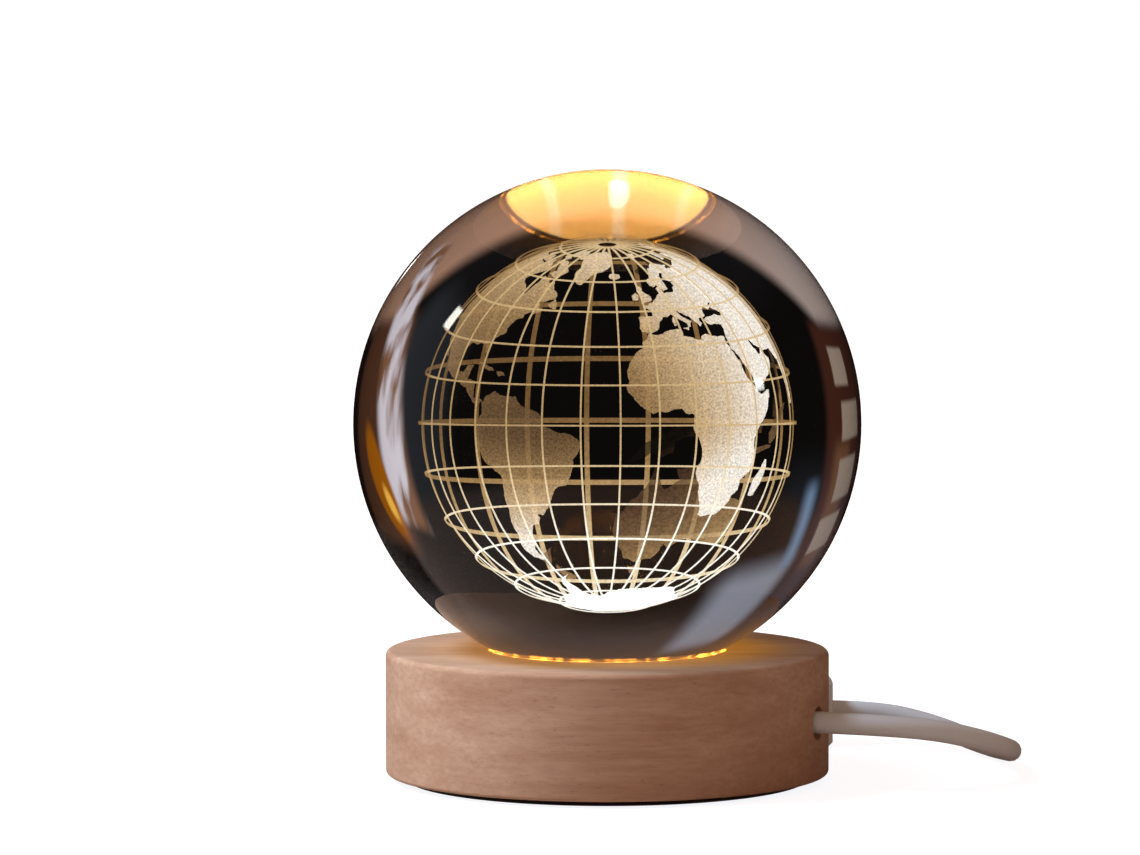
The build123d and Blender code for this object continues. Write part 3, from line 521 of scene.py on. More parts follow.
@dataclass(frozen=True)
class Engraving:
    """Laser-made points in the glass, which scatter the light that rises through the ball.

    The points only veil what lies behind them. Their glow is painted emission that stands in for
    scattered light: brightest at the bottom, nearest the lights, and at the right, and least at the
    back. Each tone is a sum of shares: side and rim grow with x, height and foot with z, and back
    and far_north take away behind the turn. The ramp runs from lowest to 1 through the tones.
    """

    name: str
    middle: Vector
    radius: float
    tones: tuple[Colour, ...]
    level: float = 0.08
    side: float = 0.5
    rim: float = 0.5
    height: float = 0.72
    foot: float = 1.0
    back: float = 0.85
    veil: float = 0.52
    grain: float = 3800.0
    grit: float = 0.5
    lowest: float = -0.2
    far_north: float = 0.0
    turn: Pair = (-0.05, 0.3)
    north_edge: Pair = (-0.1, 0.3)

    def tone(self, graph: Graph, place: Socket) -> Socket:
        """Works out how brightly the points' painted glow shines.

        Args:
            graph: The material's graph.
            place: The point's place in the ball.

        Returns:
            The tone, lowest at the ramp's first colour and 1 at its last.
        """
        off = graph.add("VectorMath", {0: place, 1: tuple(self.middle)}, operation="SUBTRACT").outputs[0]
        x, y, z = graph.add("SeparateXYZ", {0: graph.stretched(off, (1 / self.radius,) * 3)}).outputs
        tone = graph.math("MULTIPLY_ADD", x, self.side, self.level)
        tone = graph.math("MULTIPLY_ADD", graph.math("MULTIPLY", x, x), self.rim, tone)
        tone = graph.math("MULTIPLY_ADD", graph.math("MULTIPLY", z, z), self.height, tone)
        tone = graph.math("ADD", tone, graph.span(z, -1.0, 0.0, self.foot, 0.0))
        behind = graph.span(y, *self.turn, 0.0, 1.0, smooth=True)
        tone = graph.math("MULTIPLY_ADD", behind, -self.back, tone)
        upper = graph.span(z, *self.north_edge, 0.0, self.far_north, smooth=True)
        return graph.math("SUBTRACT", tone, graph.math("MULTIPLY", behind, upper))

    def build(self) -> Material:
        """Mixes the finish.

        Returns:
            The material.
        """
        material, graph = new_material(self.name)
        place = graph.place()
        ramp = graph.add("ValToRGB", {0: graph.span(self.tone(graph, place), self.lowest, 1.0, 0.0, 1.0)})
        stops = ramp.color_ramp.elements
        while len(stops) < len(self.tones):
            stops.new(0.5)
        for number, (stop, colour) in enumerate(zip(stops, self.tones)):
            stop.position = number / (len(self.tones) - 1)
            stop.color = (*colour, 1.0)
        points = graph.noise(place, self.grain, 1.0)
        strength = graph.span(points, NOISE_LOW, NOISE_HIGH, 1 - self.grit, 1 + self.grit)
        strength = graph.math("DIVIDE", strength, 1 + self.veil)
        # The points' emission is painted glow for the light they would scatter; its brightness follows the
        # tone.
        glow = graph.add("Emission", {"Color": ramp.outputs[0], "Strength": strength})
        clear = graph.add("BsdfTransparent", {"Color": (self.veil,) * 3})
        graph.finish(graph.add("AddShader", {0: clear.outputs[0], 1: glow.outputs[0]}).outputs[0])
        material.cycles.emission_sampling = "NONE"
        return material


@dataclass(frozen=True)
class Phosphor:
    """A lit light's phosphor. Its light reaches the eye through the ball, but makes no caustics outside."""

    name: str = "phosphor"
    colour: Colour = (1.0, 0.6, 0.2)
    strength: float = 120.0
    grain: float = 6000.0

    def build(self) -> Material:
        """Mixes the finish.

        Returns:
            The material.
        """
        material, graph = new_material(self.name)
        bright = tuple(min(part * 1.1, 1.0) for part in self.colour)
        colour = graph.mix(graph.noise(graph.place(), self.grain, 1.0), self.colour, bright)
        glow = graph.add("Emission", {"Color": colour, "Strength": direct_view(graph, self.strength)})
        graph.finish(glow.outputs[0])
        return material


FINISHES: dict[str, Moulded] = {
    finish.name: finish
    for finish in (
        Moulded("foam_pad", (0.012, 0.012, 0.013), 0.85, 0.2, 2500.0, 0.5),
        Moulded("circuit_board", (0.78, 0.78, 0.74), 0.35, 0.03, 500.0, 0.05, coat=0.3),
        Moulded("light_body", (0.85, 0.84, 0.8), 0.5, 0.03),
        Moulded("resistor", (0.02, 0.02, 0.022), 0.3, 0.2),
        Moulded("steel_screw", (0.6, 0.6, 0.61), 0.28, 0.1, 4000.0, 0.1, metallic=1.0),
        Moulded("solder", (0.7, 0.7, 0.71), 0.22, 0.1, 1500.0, 0.2, metallic=1.0),
        Moulded("red_insulation", (0.5, 0.02, 0.015), 0.4, 0.08),
        Moulded("black_insulation", (0.02, 0.02, 0.02), 0.4, 0.1),
        Moulded("white_nylon", (0.78, 0.77, 0.73), 0.4, 0.04),
        Moulded("white_jacket", (0.78, 0.78, 0.79), 0.42, 0.04, 700.0, 0.12),
        Moulded("strap", (0.02, 0.02, 0.022), 0.7, 0.25, 3000.0, 0.6),
        Moulded("white_plastic", (0.8, 0.8, 0.79), 0.36, 0.03, 1400.0, 0.12),
        Moulded("grey_rocker", (0.36, 0.36, 0.37), 0.4, 0.05, 1400.0, 0.12),
        Moulded("brass_contact", (0.83, 0.6, 0.25), 0.2, 0.06, 1500.0, 0.05, metallic=1.0),
        Moulded("plug_steel", (0.72, 0.71, 0.69), 0.2, 0.05, 2500.0, 0.06, metallic=1.0),
    )
}


def new_piece(name: str, bm: Mesh, material: Material, smooth: float = SHARP_ANGLE) -> Piece:
    """Makes an object of a bmesh.

    Args:
        name: The piece's name.
        bm: Its mesh, which is freed.
        material: Its only material.
        smooth: Edges sharper than this stay sharp, in radians.

    Returns:
        The new object, at the origin.
    """
    mesh = bpy.data.meshes.new(name)
    bm.to_mesh(mesh)
    bm.free()
    mesh.materials.append(material)
    mesh.shade_smooth()
    mesh.set_sharp_from_angle(angle=smooth)
    piece = bpy.data.objects.new(name, mesh)
    bpy.context.scene.collection.objects.link(piece)
    return piece


def cut(piece: Piece, tool_bm: Mesh) -> None:
    """Cuts a tool out of a piece and keeps only the result.

    Args:
        piece: The piece, which gets a new mesh.
        tool_bm: The tool's mesh, which is freed.
    """
    tool_mesh = bpy.data.meshes.new(piece.name + "_tool")
    tool_bm.to_mesh(tool_mesh)
    tool_bm.free()
    tool = bpy.data.objects.new(piece.name + "_tool", tool_mesh)
    bpy.context.scene.collection.objects.link(tool)
    modifier = piece.modifiers.new("cut", "BOOLEAN")
    modifier.operation, modifier.solver, modifier.object = "DIFFERENCE", "EXACT", tool
    graph = bpy.context.evaluated_depsgraph_get()
    result = bpy.data.meshes.new_from_object(piece.evaluated_get(graph))
    piece.modifiers.clear()
    piece.data = result
    bpy.data.objects.remove(tool)
    bpy.data.meshes.remove(tool_mesh)


def dress(materials: dict[str, Material], slots: dict[str, str]) -> None:
    """Gives CAD nodes their materials.

    Args:
        materials: Materials by slot.
        slots: Slot by node.
    """
    for node, slot in slots.items():
        piece = frame["nodes"][node]
        for place in piece.material_slots:
            place.material = materials[slot]
        log.info("%s stays as the CAD node, in %s", node, slot)


def arc(middle: Pair, radius: float, start: float, end: float, steps: int) -> list[Pair]:
    """Draws an arc in a profile.

    Args:
        middle: The arc's middle.
        radius: Its radius.
        start: Its first angle, in degrees.
        end: Its last angle, in degrees.
        steps: How many pieces it is cut into.

    Returns:
        Its points.
    """
    turns = [math.radians(start + (end - start) * step / steps) for step in range(steps + 1)]
    return [(middle[0] + radius * math.cos(turn), middle[1] + radius * math.sin(turn)) for turn in turns]


@dataclass
class BeechBase:
    """The turned beech base with its light well, ball seat, pocket and lead hole, in millimetres."""

    well_radius: float = 16.8
    seat_width: float = 1.6
    seat_drop: float = 0.784
    shelf_height: float = 12.94
    pocket_radius: float = 27.5
    top_round: float = 0.9
    bottom_round: float = 0.6
    hole_radius: float = 2.65
    hole_height: float = 10.19
    hole_angle: float = -20.0
    hole_facets: int = 48
    tool_overrun: float = 3.0
    facets: int = 192
    round_steps: int = 6

    def finish(self) -> Beech:
        """Returns the wood, with its painted glow round the light well."""
        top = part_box("wooden_base")[1].z
        return Beech(well=self.well_radius * MM, seat=(self.well_radius + self.seat_width) * MM, top=top)

    def turned(self, radius: float, foot: float, top: float) -> Mesh:
        """Spins the base's profile round its axis.

        Args:
            radius: The base's radius.
            foot: The height of its underside.
            top: The height of its top.

        Returns:
            The base's mesh without the lead's hole.
        """
        upper = (radius - self.top_round, top - self.top_round)
        lower = (radius - self.bottom_round, foot + self.bottom_round)
        profile = [
            (self.well_radius, self.shelf_height),
            (self.well_radius, top - self.seat_drop),
            (self.well_radius + self.seat_width, top),
            *arc(upper, self.top_round, 90, 0, self.round_steps),
            *arc(lower, self.bottom_round, 0, -90, self.round_steps),
            (self.pocket_radius, foot),
            (self.pocket_radius, self.shelf_height),
        ]
        bm = bmesh.new()
        ring = [bm.verts.new((x * MM, 0, z * MM)) for x, z in profile]
        edges = [bm.edges.new(pair) for pair in zip(ring, ring[1:] + ring[:1])]
        bmesh.ops.spin(bm, geom=ring + edges, axis=(0, 0, 1), cent=(0, 0, 0), dvec=(0, 0, 0),
                       angle=math.tau, steps=self.facets, use_merge=True, use_duplicate=False)
        bmesh.ops.remove_doubles(bm, verts=bm.verts, dist=CLOSE)
        bmesh.ops.recalc_face_normals(bm, faces=bm.faces)
        return bm

    def drill(self, radius: float) -> Mesh:
        """Makes the tool for the lead's hole, which passes the base's wall.

        Args:
            radius: The base's radius.

        Returns:
            The tool's mesh.
        """
        bm = bmesh.new()
        bmesh.ops.create_cone(bm, cap_ends=True, segments=self.hole_facets, radius1=self.hole_radius * MM,
                              radius2=self.hole_radius * MM,
                              depth=(radius - self.pocket_radius + 2 * self.tool_overrun) * MM)
        angle = math.radians(self.hole_angle)
        turn = Matrix.Rotation(angle, 4, "Z") @ Matrix.Rotation(math.radians(90), 4, "Y")
        outward = Vector((math.cos(angle), math.sin(angle), 0))
        middle = outward * (radius + self.pocket_radius) / 2 + Vector((0, 0, self.hole_height))
        bm.transform(Matrix.Translation(middle * MM) @ turn)
        return bm

    def build(self, material: Material) -> Piece:
        """Builds the base in place of its CAD node.

        Args:
            material: The wood.

        Returns:
            The base.
        """
        low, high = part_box("wooden_base")
        radius = (high.x - low.x) / 2 / MM
        piece = new_piece("beech_base", self.turned(radius, low.z / MM, high.z / MM), material)
        cut(piece, self.drill(radius))
        piece.data.set_sharp_from_angle(angle=SHARP_ANGLE)
        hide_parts("wooden_base")
        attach(piece, Body.BASE.value)
        log.info("beech_base has %d faces", len(piece.data.polygons))
        return piece


@dataclass
class CrystalBall:
    """The polished glass ball."""

    subdivisions: int = 6

    def build(self, material: Material) -> Piece:
        """Builds the ball in place of its CAD node.

        Args:
            material: The glass.

        Returns:
            The ball.
        """
        low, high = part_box("crystal_ball")
        bm = bmesh.new()
        bmesh.ops.create_icosphere(bm, subdivisions=self.subdivisions, radius=(high.z - low.z) / 2)
        bmesh.ops.translate(bm, verts=bm.verts, vec=(low + high) / 2)
        piece = new_piece("glass_ball", bm, material, math.pi)
        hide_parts("crystal_ball")
        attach(piece, Body.BALL.value)
        log.info("glass_ball has %d faces", len(piece.data.polygons))
        return piece


# Each land's coasts, as corners in degrees north and degrees east.
LANDS: dict[str, list[list[Pair]]] = {
    "engraved_africa": [
        [
            (35.8, -5.9), (35.2, -3), (35.2, -1.5), (36.6, 2.5), (37.1, 6), (37.3, 9.8), (36.8, 11),
            (35, 10.9), (34.4, 10.2), (34.1, 12.5), (33.4, 15.3), (32.4, 17.5), (32.4, 19.5),
            (34, 20.7), (34.5, 22.8), (33.6, 25.4), (33, 29), (33.2, 31.3), (32.7, 33.1), (30.6, 32.6),
            (27.5, 33.9), (24, 35.5), (22, 36.9), (18.8, 37.4), (15.6, 39.5), (13, 42.4), (11.5, 43.2),
            (10.5, 45.5), (11.3, 49), (11.9, 51.2), (9.5, 50.8), (6, 48.9), (3, 46.5), (0.5, 43.2),
            (-2.5, 40.8), (-4.8, 39.3), (-7, 39.4), (-10.5, 40.6), (-15, 40.7), (-18, 37.2),
            (-20, 34.9), (-23.5, 35.5), (-25.8, 32.8), (-28.5, 32.3), (-31, 30.2), (-33.8, 27),
            (-34.1, 23), (-34.8, 20), (-34.2, 18.4), (-32, 18.3), (-29, 16.8), (-25.5, 14.9),
            (-22.5, 14.4), (-18, 11.8), (-15, 12.2), (-11.5, 13.8), (-8.8, 13.3), (-6, 12.2), (-4, 11),
            (-1, 9), (1, 9.5), (4, 9.6), (4.5, 8.5), (4.3, 6.2), (6.3, 4.3), (6.2, 1.2), (5, -1.8),
            (5.2, -4), (4.4, -7.5), (6.5, -11), (8.5, -13.2), (10.8, -14.8), (12.5, -16.8),
            (14.7, -17.4), (17, -16.2), (20.9, -17), (23.8, -15.9), (26.5, -14), (28, -12.8),
            (30, -9.7), (32.5, -9.3), (34, -6.8),
        ],
        [(-12, 49.3), (-16, 50.2), (-25, 47), (-25.3, 44.2), (-19, 44.4)],
    ],
    "engraved_europe": [
        [
            (36.1, -5.5), (36.8, -3), (37.6, -0.8), (38.8, 0.1), (41, 1), (42.3, 3.2), (43.2, 3.4),
            (43.3, 5), (43.1, 6.5), (44.3, 8.8), (43.5, 10.2), (42.3, 11.2), (41, 13.8), (39.8, 15.8),
            (38, 15.8), (38.2, 16.8), (39.5, 17), (40.3, 18.4), (41, 17), (41.9, 15.5), (43.5, 13.5),
            (44.8, 12.3), (45.7, 13.6), (45, 14), (43.7, 16.4), (42.6, 18.9), (41.2, 20), (39.6, 21.5),
            (38, 22.6), (39, 24), (40.2, 23.2), (41.4, 23.4), (41.6, 26), (42, 28.4), (43.5, 28.3),
            (45, 29.7), (46.5, 31), (45.3, 33), (44.5, 34), (45.3, 36.3), (46.5, 35.5), (47.2, 38.8),
            (47, 40.5), (55, 40.5), (66, 40.5), (66.2, 33.5), (68, 39), (69.3, 33), (70.8, 28),
            (70.5, 23), (68.5, 15.5), (66, 12.8), (63.8, 9.8), (61.8, 5.2), (59, 5.6), (58, 7.5),
            (59.2, 10.6), (57.5, 12), (55.5, 13), (56.2, 16.2), (58.6, 16.8), (60.5, 17.3), (62.8, 18),
            (65.6, 22), (65, 25), (63, 21.5), (61, 21.4), (60, 24), (60, 29.5), (59.4, 24), (57.5, 24),
            (56.8, 21.3), (54.8, 19.8), (54.2, 16), (54, 12), (54.6, 10), (57.6, 10.3), (57, 8.2),
            (54.5, 8.6), (53.4, 6), (51.3, 3), (50, 1.4), (49.5, -1.2), (48.7, -2), (48.5, -4.7),
            (47.3, -2.5), (45.5, -1.1), (43.5, -1.6), (43.6, -5), (43.3, -9), (41, -8.8), (38.7, -9.4),
            (37.1, -8.8), (37, -7),
        ],
        [
            (50.1, -5.5), (50.8, -1.2), (51.3, 1.3), (52.8, 1.6), (54.5, -0.8), (56, -2.5), (57.6, -2),
            (58.6, -3.2), (58.3, -5.2), (56.5, -5.8), (55, -4.9), (54, -3), (53.3, -4.4), (51.8, -5.1),
            (51.4, -3),
        ],
        [(52, -6.5), (54, -5.7), (55.3, -7), (54, -9.8), (51.6, -9.8)],
        [(63.5, -18.7), (64.4, -14.7), (66, -14.9), (66.3, -18), (66.4, -22.5), (65, -23.8), (64, -22.6)],
        [(39, 8.5), (41, 8.2), (43, 9.4), (41.3, 9.6), (39.2, 9.6)],
        [(37.8, 12.6), (38.2, 15.4), (36.8, 15)],
        [(76.8, 15), (78.5, 12), (80, 16), (79.5, 24), (77.5, 22)],
    ],
    "engraved_asia": [
        [
            (47, 40.5), (46.5, 38), (45.2, 36.9), (44, 38.5), (42.5, 41.5), (41, 40.5), (41.2, 37),
            (42, 35), (41.5, 32.5), (41.4, 29.4), (40.9, 27.4), (40.1, 26.9), (38.8, 28), (38.2, 30.6),
            (38.1, 33.5), (37.8, 36), (35.6, 36.2), (33.9, 35.3), (32.4, 34.6), (30, 34.9), (28, 34.8),
            (26, 36.8), (22.5, 39), (19.5, 40.9), (16.5, 42.8), (12.8, 43.5), (13.3, 45.5),
            (14.8, 49.5), (17, 54.5), (19, 57.7), (22.3, 59.8), (24, 57), (26.2, 56.3), (24.2, 54),
            (24.5, 51.8), (26.2, 51), (26.8, 49.8), (29.8, 48.2), (30, 50.2), (27.8, 52.5), (26.8, 55),
            (25.3, 58.5), (25.2, 61.8), (25.3, 66.5), (23, 68.5), (22.3, 69.2), (20.8, 71),
            (21.5, 72.7), (18, 73), (14.5, 74.3), (10.5, 76), (8.2, 77.3), (10.3, 79.5), (13.5, 80.3),
            (16, 81.5), (19, 84.8), (21.8, 87.5), (22, 91.5), (19.5, 93.5), (16, 94.5), (17, 97),
            (13, 98.5), (9, 98.3), (6, 100.3), (2.5, 101.6), (1.4, 104), (5, 103.3), (9.5, 99.8),
            (13.3, 100.7), (11.5, 102.8), (8.7, 105), (11, 108.8), (15.5, 108.8), (19.5, 105.8),
            (21.5, 108.3), (20.5, 110), (22.5, 114.5), (25, 118.8), (28.5, 121.7), (31.5, 121.8),
            (35, 119.3), (37.2, 122.3), (38.8, 118), (40.8, 121.5), (39, 121.5), (39.8, 124.8),
            (37, 126.5), (34.6, 126.6), (35.5, 129.4), (39, 127.8), (42.5, 131), (45, 136.5),
            (50, 140.5), (54, 139), (54.5, 135.5), (59, 143), (59.5, 151), (61.8, 156), (61, 160),
            (57, 156.5), (51.3, 156.8), (56, 163), (60, 166), (60.5, 170.5), (62.3, 179), (66, 189),
            (69, 180), (70, 162), (72, 150), (71, 137), (73.8, 127), (73.8, 112), (77.5, 104), (76, 92),
            (73.8, 84), (71, 78), (72.8, 70), (69, 68), (68.5, 58), (66.8, 45), (66, 40.5), (55, 40.5),
        ],
        [
            (31.3, 130.5), (33.5, 130.2), (35.6, 133), (37, 137), (40.5, 140), (43.3, 140.5),
            (45.4, 142), (43.5, 145), (42, 142), (39, 141.8), (35.5, 140.5), (34, 136.5), (33.5, 133),
        ],
        [(5.5, 95.3), (2, 99), (-5.8, 105.5), (-3, 106), (1, 103), (4, 98.5)],
        [(1.5, 109.5), (3, 113), (7, 117), (5, 119), (1, 118), (-3.8, 116), (-3, 110.5)],
        [(-6.2, 105.3), (-7, 112), (-8.5, 114.5), (-7.8, 110), (-7, 106)],
        [(1, 120.5), (1.3, 125), (0.3, 121.5), (-5.5, 120.3), (-3, 119)],
        [(18.5, 121), (14, 124), (7, 126.5), (6, 125), (10, 123), (15, 120)],
        [(9.5, 80), (7.5, 81.8), (6, 80.5)],
        [(71, 52), (73.5, 54), (76.5, 62), (76, 68), (73, 57), (71, 55)],
    ],
    "engraved_australia": [
        [
            (-12, 131), (-11.5, 133), (-12.2, 136.8), (-15, 135.6), (-17.5, 140), (-14, 141.5),
            (-10.8, 142.4), (-14.5, 143.8), (-19, 146.8), (-22, 150), (-25, 153), (-28.5, 153.5),
            (-33, 152), (-37.5, 150), (-39, 146.3), (-38, 141), (-35.5, 138.8), (-33, 137.8),
            (-34.8, 135.8), (-32, 133), (-31.5, 130), (-33.8, 124), (-34, 120), (-35, 117.5),
            (-33.5, 115.2), (-31.8, 115.8), (-28, 114.2), (-25, 113.5), (-22, 113.9), (-20.5, 118),
            (-18, 122.2), (-16.5, 123), (-14, 126.5), (-14.8, 129.5),
        ],
        [
            (-0.8, 131.3), (-2, 134), (-1.5, 137.5), (-3, 141), (-5.5, 145.5), (-8, 147.5),
            (-10.4, 150.5), (-9.5, 147), (-7.8, 144), (-9, 141), (-8, 138.5), (-5, 138), (-4, 133),
        ],
        [(-40.8, 144.8), (-41, 148.2), (-43.5, 147)],
        [(-34.5, 173), (-37.6, 178.3), (-41.5, 175.3), (-39.3, 174)],
        [(-40.7, 172.8), (-43, 173), (-46.6, 169), (-45.5, 166.7)],
    ],
    "engraved_south_america": [
        [
            (12.4, -71.8), (11.4, -70), (10.6, -66), (10.7, -62), (8.5, -60.5), (6.8, -58.2),
            (5.8, -54.5), (4.3, -51.5), (1, -50), (-0.8, -48.3), (-2.8, -43.5), (-3, -40.5),
            (-5, -36.5), (-7.5, -34.8), (-10, -36.2), (-13, -38.5), (-17.5, -39.2), (-20.5, -40.5),
            (-22.9, -42), (-24, -46.2), (-27, -48.5), (-30, -50.2), (-33.7, -53.4), (-34.9, -55),
            (-34, -58.3), (-36.3, -57), (-38.4, -58.5), (-39, -62), (-41, -63.5), (-42.5, -64.5),
            (-45, -65.8), (-47.5, -65.8), (-50, -68.8), (-52.5, -68.4), (-54.8, -65.5), (-55.2, -69),
            (-53.5, -72.8), (-50, -75.3), (-46.5, -75), (-43, -73), (-39.5, -73.3), (-36.8, -73),
            (-33, -71.6), (-29, -71.4), (-23.5, -70.4), (-18.4, -70.3), (-16.5, -73), (-14, -76.2),
            (-9, -78.8), (-6, -81), (-3.8, -80.6), (-2.3, -80), (-1, -80.8), (1.5, -79), (4, -77.4),
            (6.8, -77.6), (8.2, -77.8), (8.8, -76.9), (10.8, -75.4),
        ],
    ],
    "engraved_north_america": [
        [
            (8.6, -77.9), (7.3, -80.2), (8.4, -83), (11, -85.8), (13.2, -87.8), (14, -91.5),
            (16, -94.5), (16.8, -99.8), (18.8, -104), (20.5, -105.5), (23, -106.5), (27, -110),
            (31.3, -113.5), (31.5, -114.8), (28.5, -112.3), (24, -110.3), (23, -109.8), (26.5, -112.5),
            (28, -115), (32, -117), (34.2, -119.5), (36.8, -122), (40.3, -124.3), (44, -124),
            (48.3, -124.6), (50.5, -127.5), (54.5, -130.5), (58, -136), (60, -141), (60, -148),
            (58, -153), (55, -161), (58.5, -157.5), (60, -164.5), (63, -161), (65.6, -168), (68, -166),
            (71.3, -156.5), (70, -145), (69.5, -135), (70.5, -128), (68.5, -114), (68, -108),
            (68.8, -98), (71.8, -95), (69.5, -90), (67, -86), (69.5, -82), (66.5, -83), (64, -88),
            (62, -93), (58.8, -94.5), (57, -90.5), (55.2, -84), (53, -81.5), (51.3, -79.8), (54.5, -79),
            (58, -77.5), (62.3, -78), (61.3, -72), (58.8, -69.5), (60, -64.8), (56.5, -61.5),
            (53.5, -56.5), (51.5, -57), (50.2, -62), (49, -66.5), (48.8, -64.5), (46.3, -64),
            (45.8, -60.5), (43.8, -65.5), (45, -67), (43.5, -70.3), (41.8, -70.2), (41, -73.5),
            (38.8, -75), (37, -76), (35.2, -75.6), (33.8, -78.3), (31.5, -81.2), (28.3, -80.6),
            (25.3, -80.5), (26.5, -82), (29.8, -83.8), (30.2, -88), (29.2, -89.8), (29.6, -94),
            (27, -97.4), (22, -97.7), (18.8, -95.5), (18.5, -92), (21, -90.3), (21.4, -87), (18.5, -88),
            (15.9, -88.8), (15.8, -84), (12.5, -83.6), (9.8, -83), (8.9, -81), (9.5, -79.3),
        ],
        [
            (62, -66), (64.5, -65), (67, -62), (70, -68), (73, -77), (73.5, -85), (70.5, -86),
            (70, -78), (66, -73), (64.3, -77), (62.8, -71),
        ],
        [(69, -105), (71, -105), (73, -110), (71.5, -118), (69, -114)],
        [(76.5, -80), (78, -76), (81, -66), (82.5, -75), (81, -90), (78, -88)],
        [(75, -80), (76.3, -85), (76, -95), (74.7, -91)],
        [(71.5, -123), (74.2, -121), (72.5, -117.5)],
        [(46.8, -53.5), (49.5, -54), (51.4, -56), (48.5, -59), (47, -55.5)],
        [(22, -84.5), (23.1, -81), (21.2, -76), (20, -74.5), (20, -77.5), (22, -81)],
        [(19.8, -72.8), (19.5, -69.5), (18.4, -68.5), (18, -71.5)],
    ],
    "engraved_greenland": [
        [
            (60, -44), (61.5, -42.5), (65.5, -39), (68, -31), (70, -25), (71.5, -22), (74, -20),
            (77, -18.5), (80, -17), (82, -22), (83.3, -32), (82.5, -45), (81.5, -58), (79, -64),
            (77.5, -71), (76, -66), (75, -58), (72.5, -55), (70, -52), (67, -53.7), (64, -52),
            (61, -48.5),
        ],
    ],
    "engraved_antarctica": [
        [
            (-63.4, -57), (-65, -61), (-68, -65), (-71, -61), (-74.5, -60), (-78.5, -52), (-80, -38),
            (-77, -24), (-74.5, -10), (-73.5, 3), (-72.5, 15), (-70.5, 30), (-68.5, 42), (-67, 52),
            (-68.5, 72), (-67, 82), (-66, 95), (-66, 110), (-66.2, 125), (-67, 142), (-69, 160),
            (-73, 169), (-78, 166), (-78.5, 180), (-77.5, -160), (-76.5, -145), (-76.5, -130),
            (-76.5, -112), (-75.5, -98), (-75, -80), (-70.5, -70), (-66.5, -67), (-64.5, -62),
        ],
    ],
}


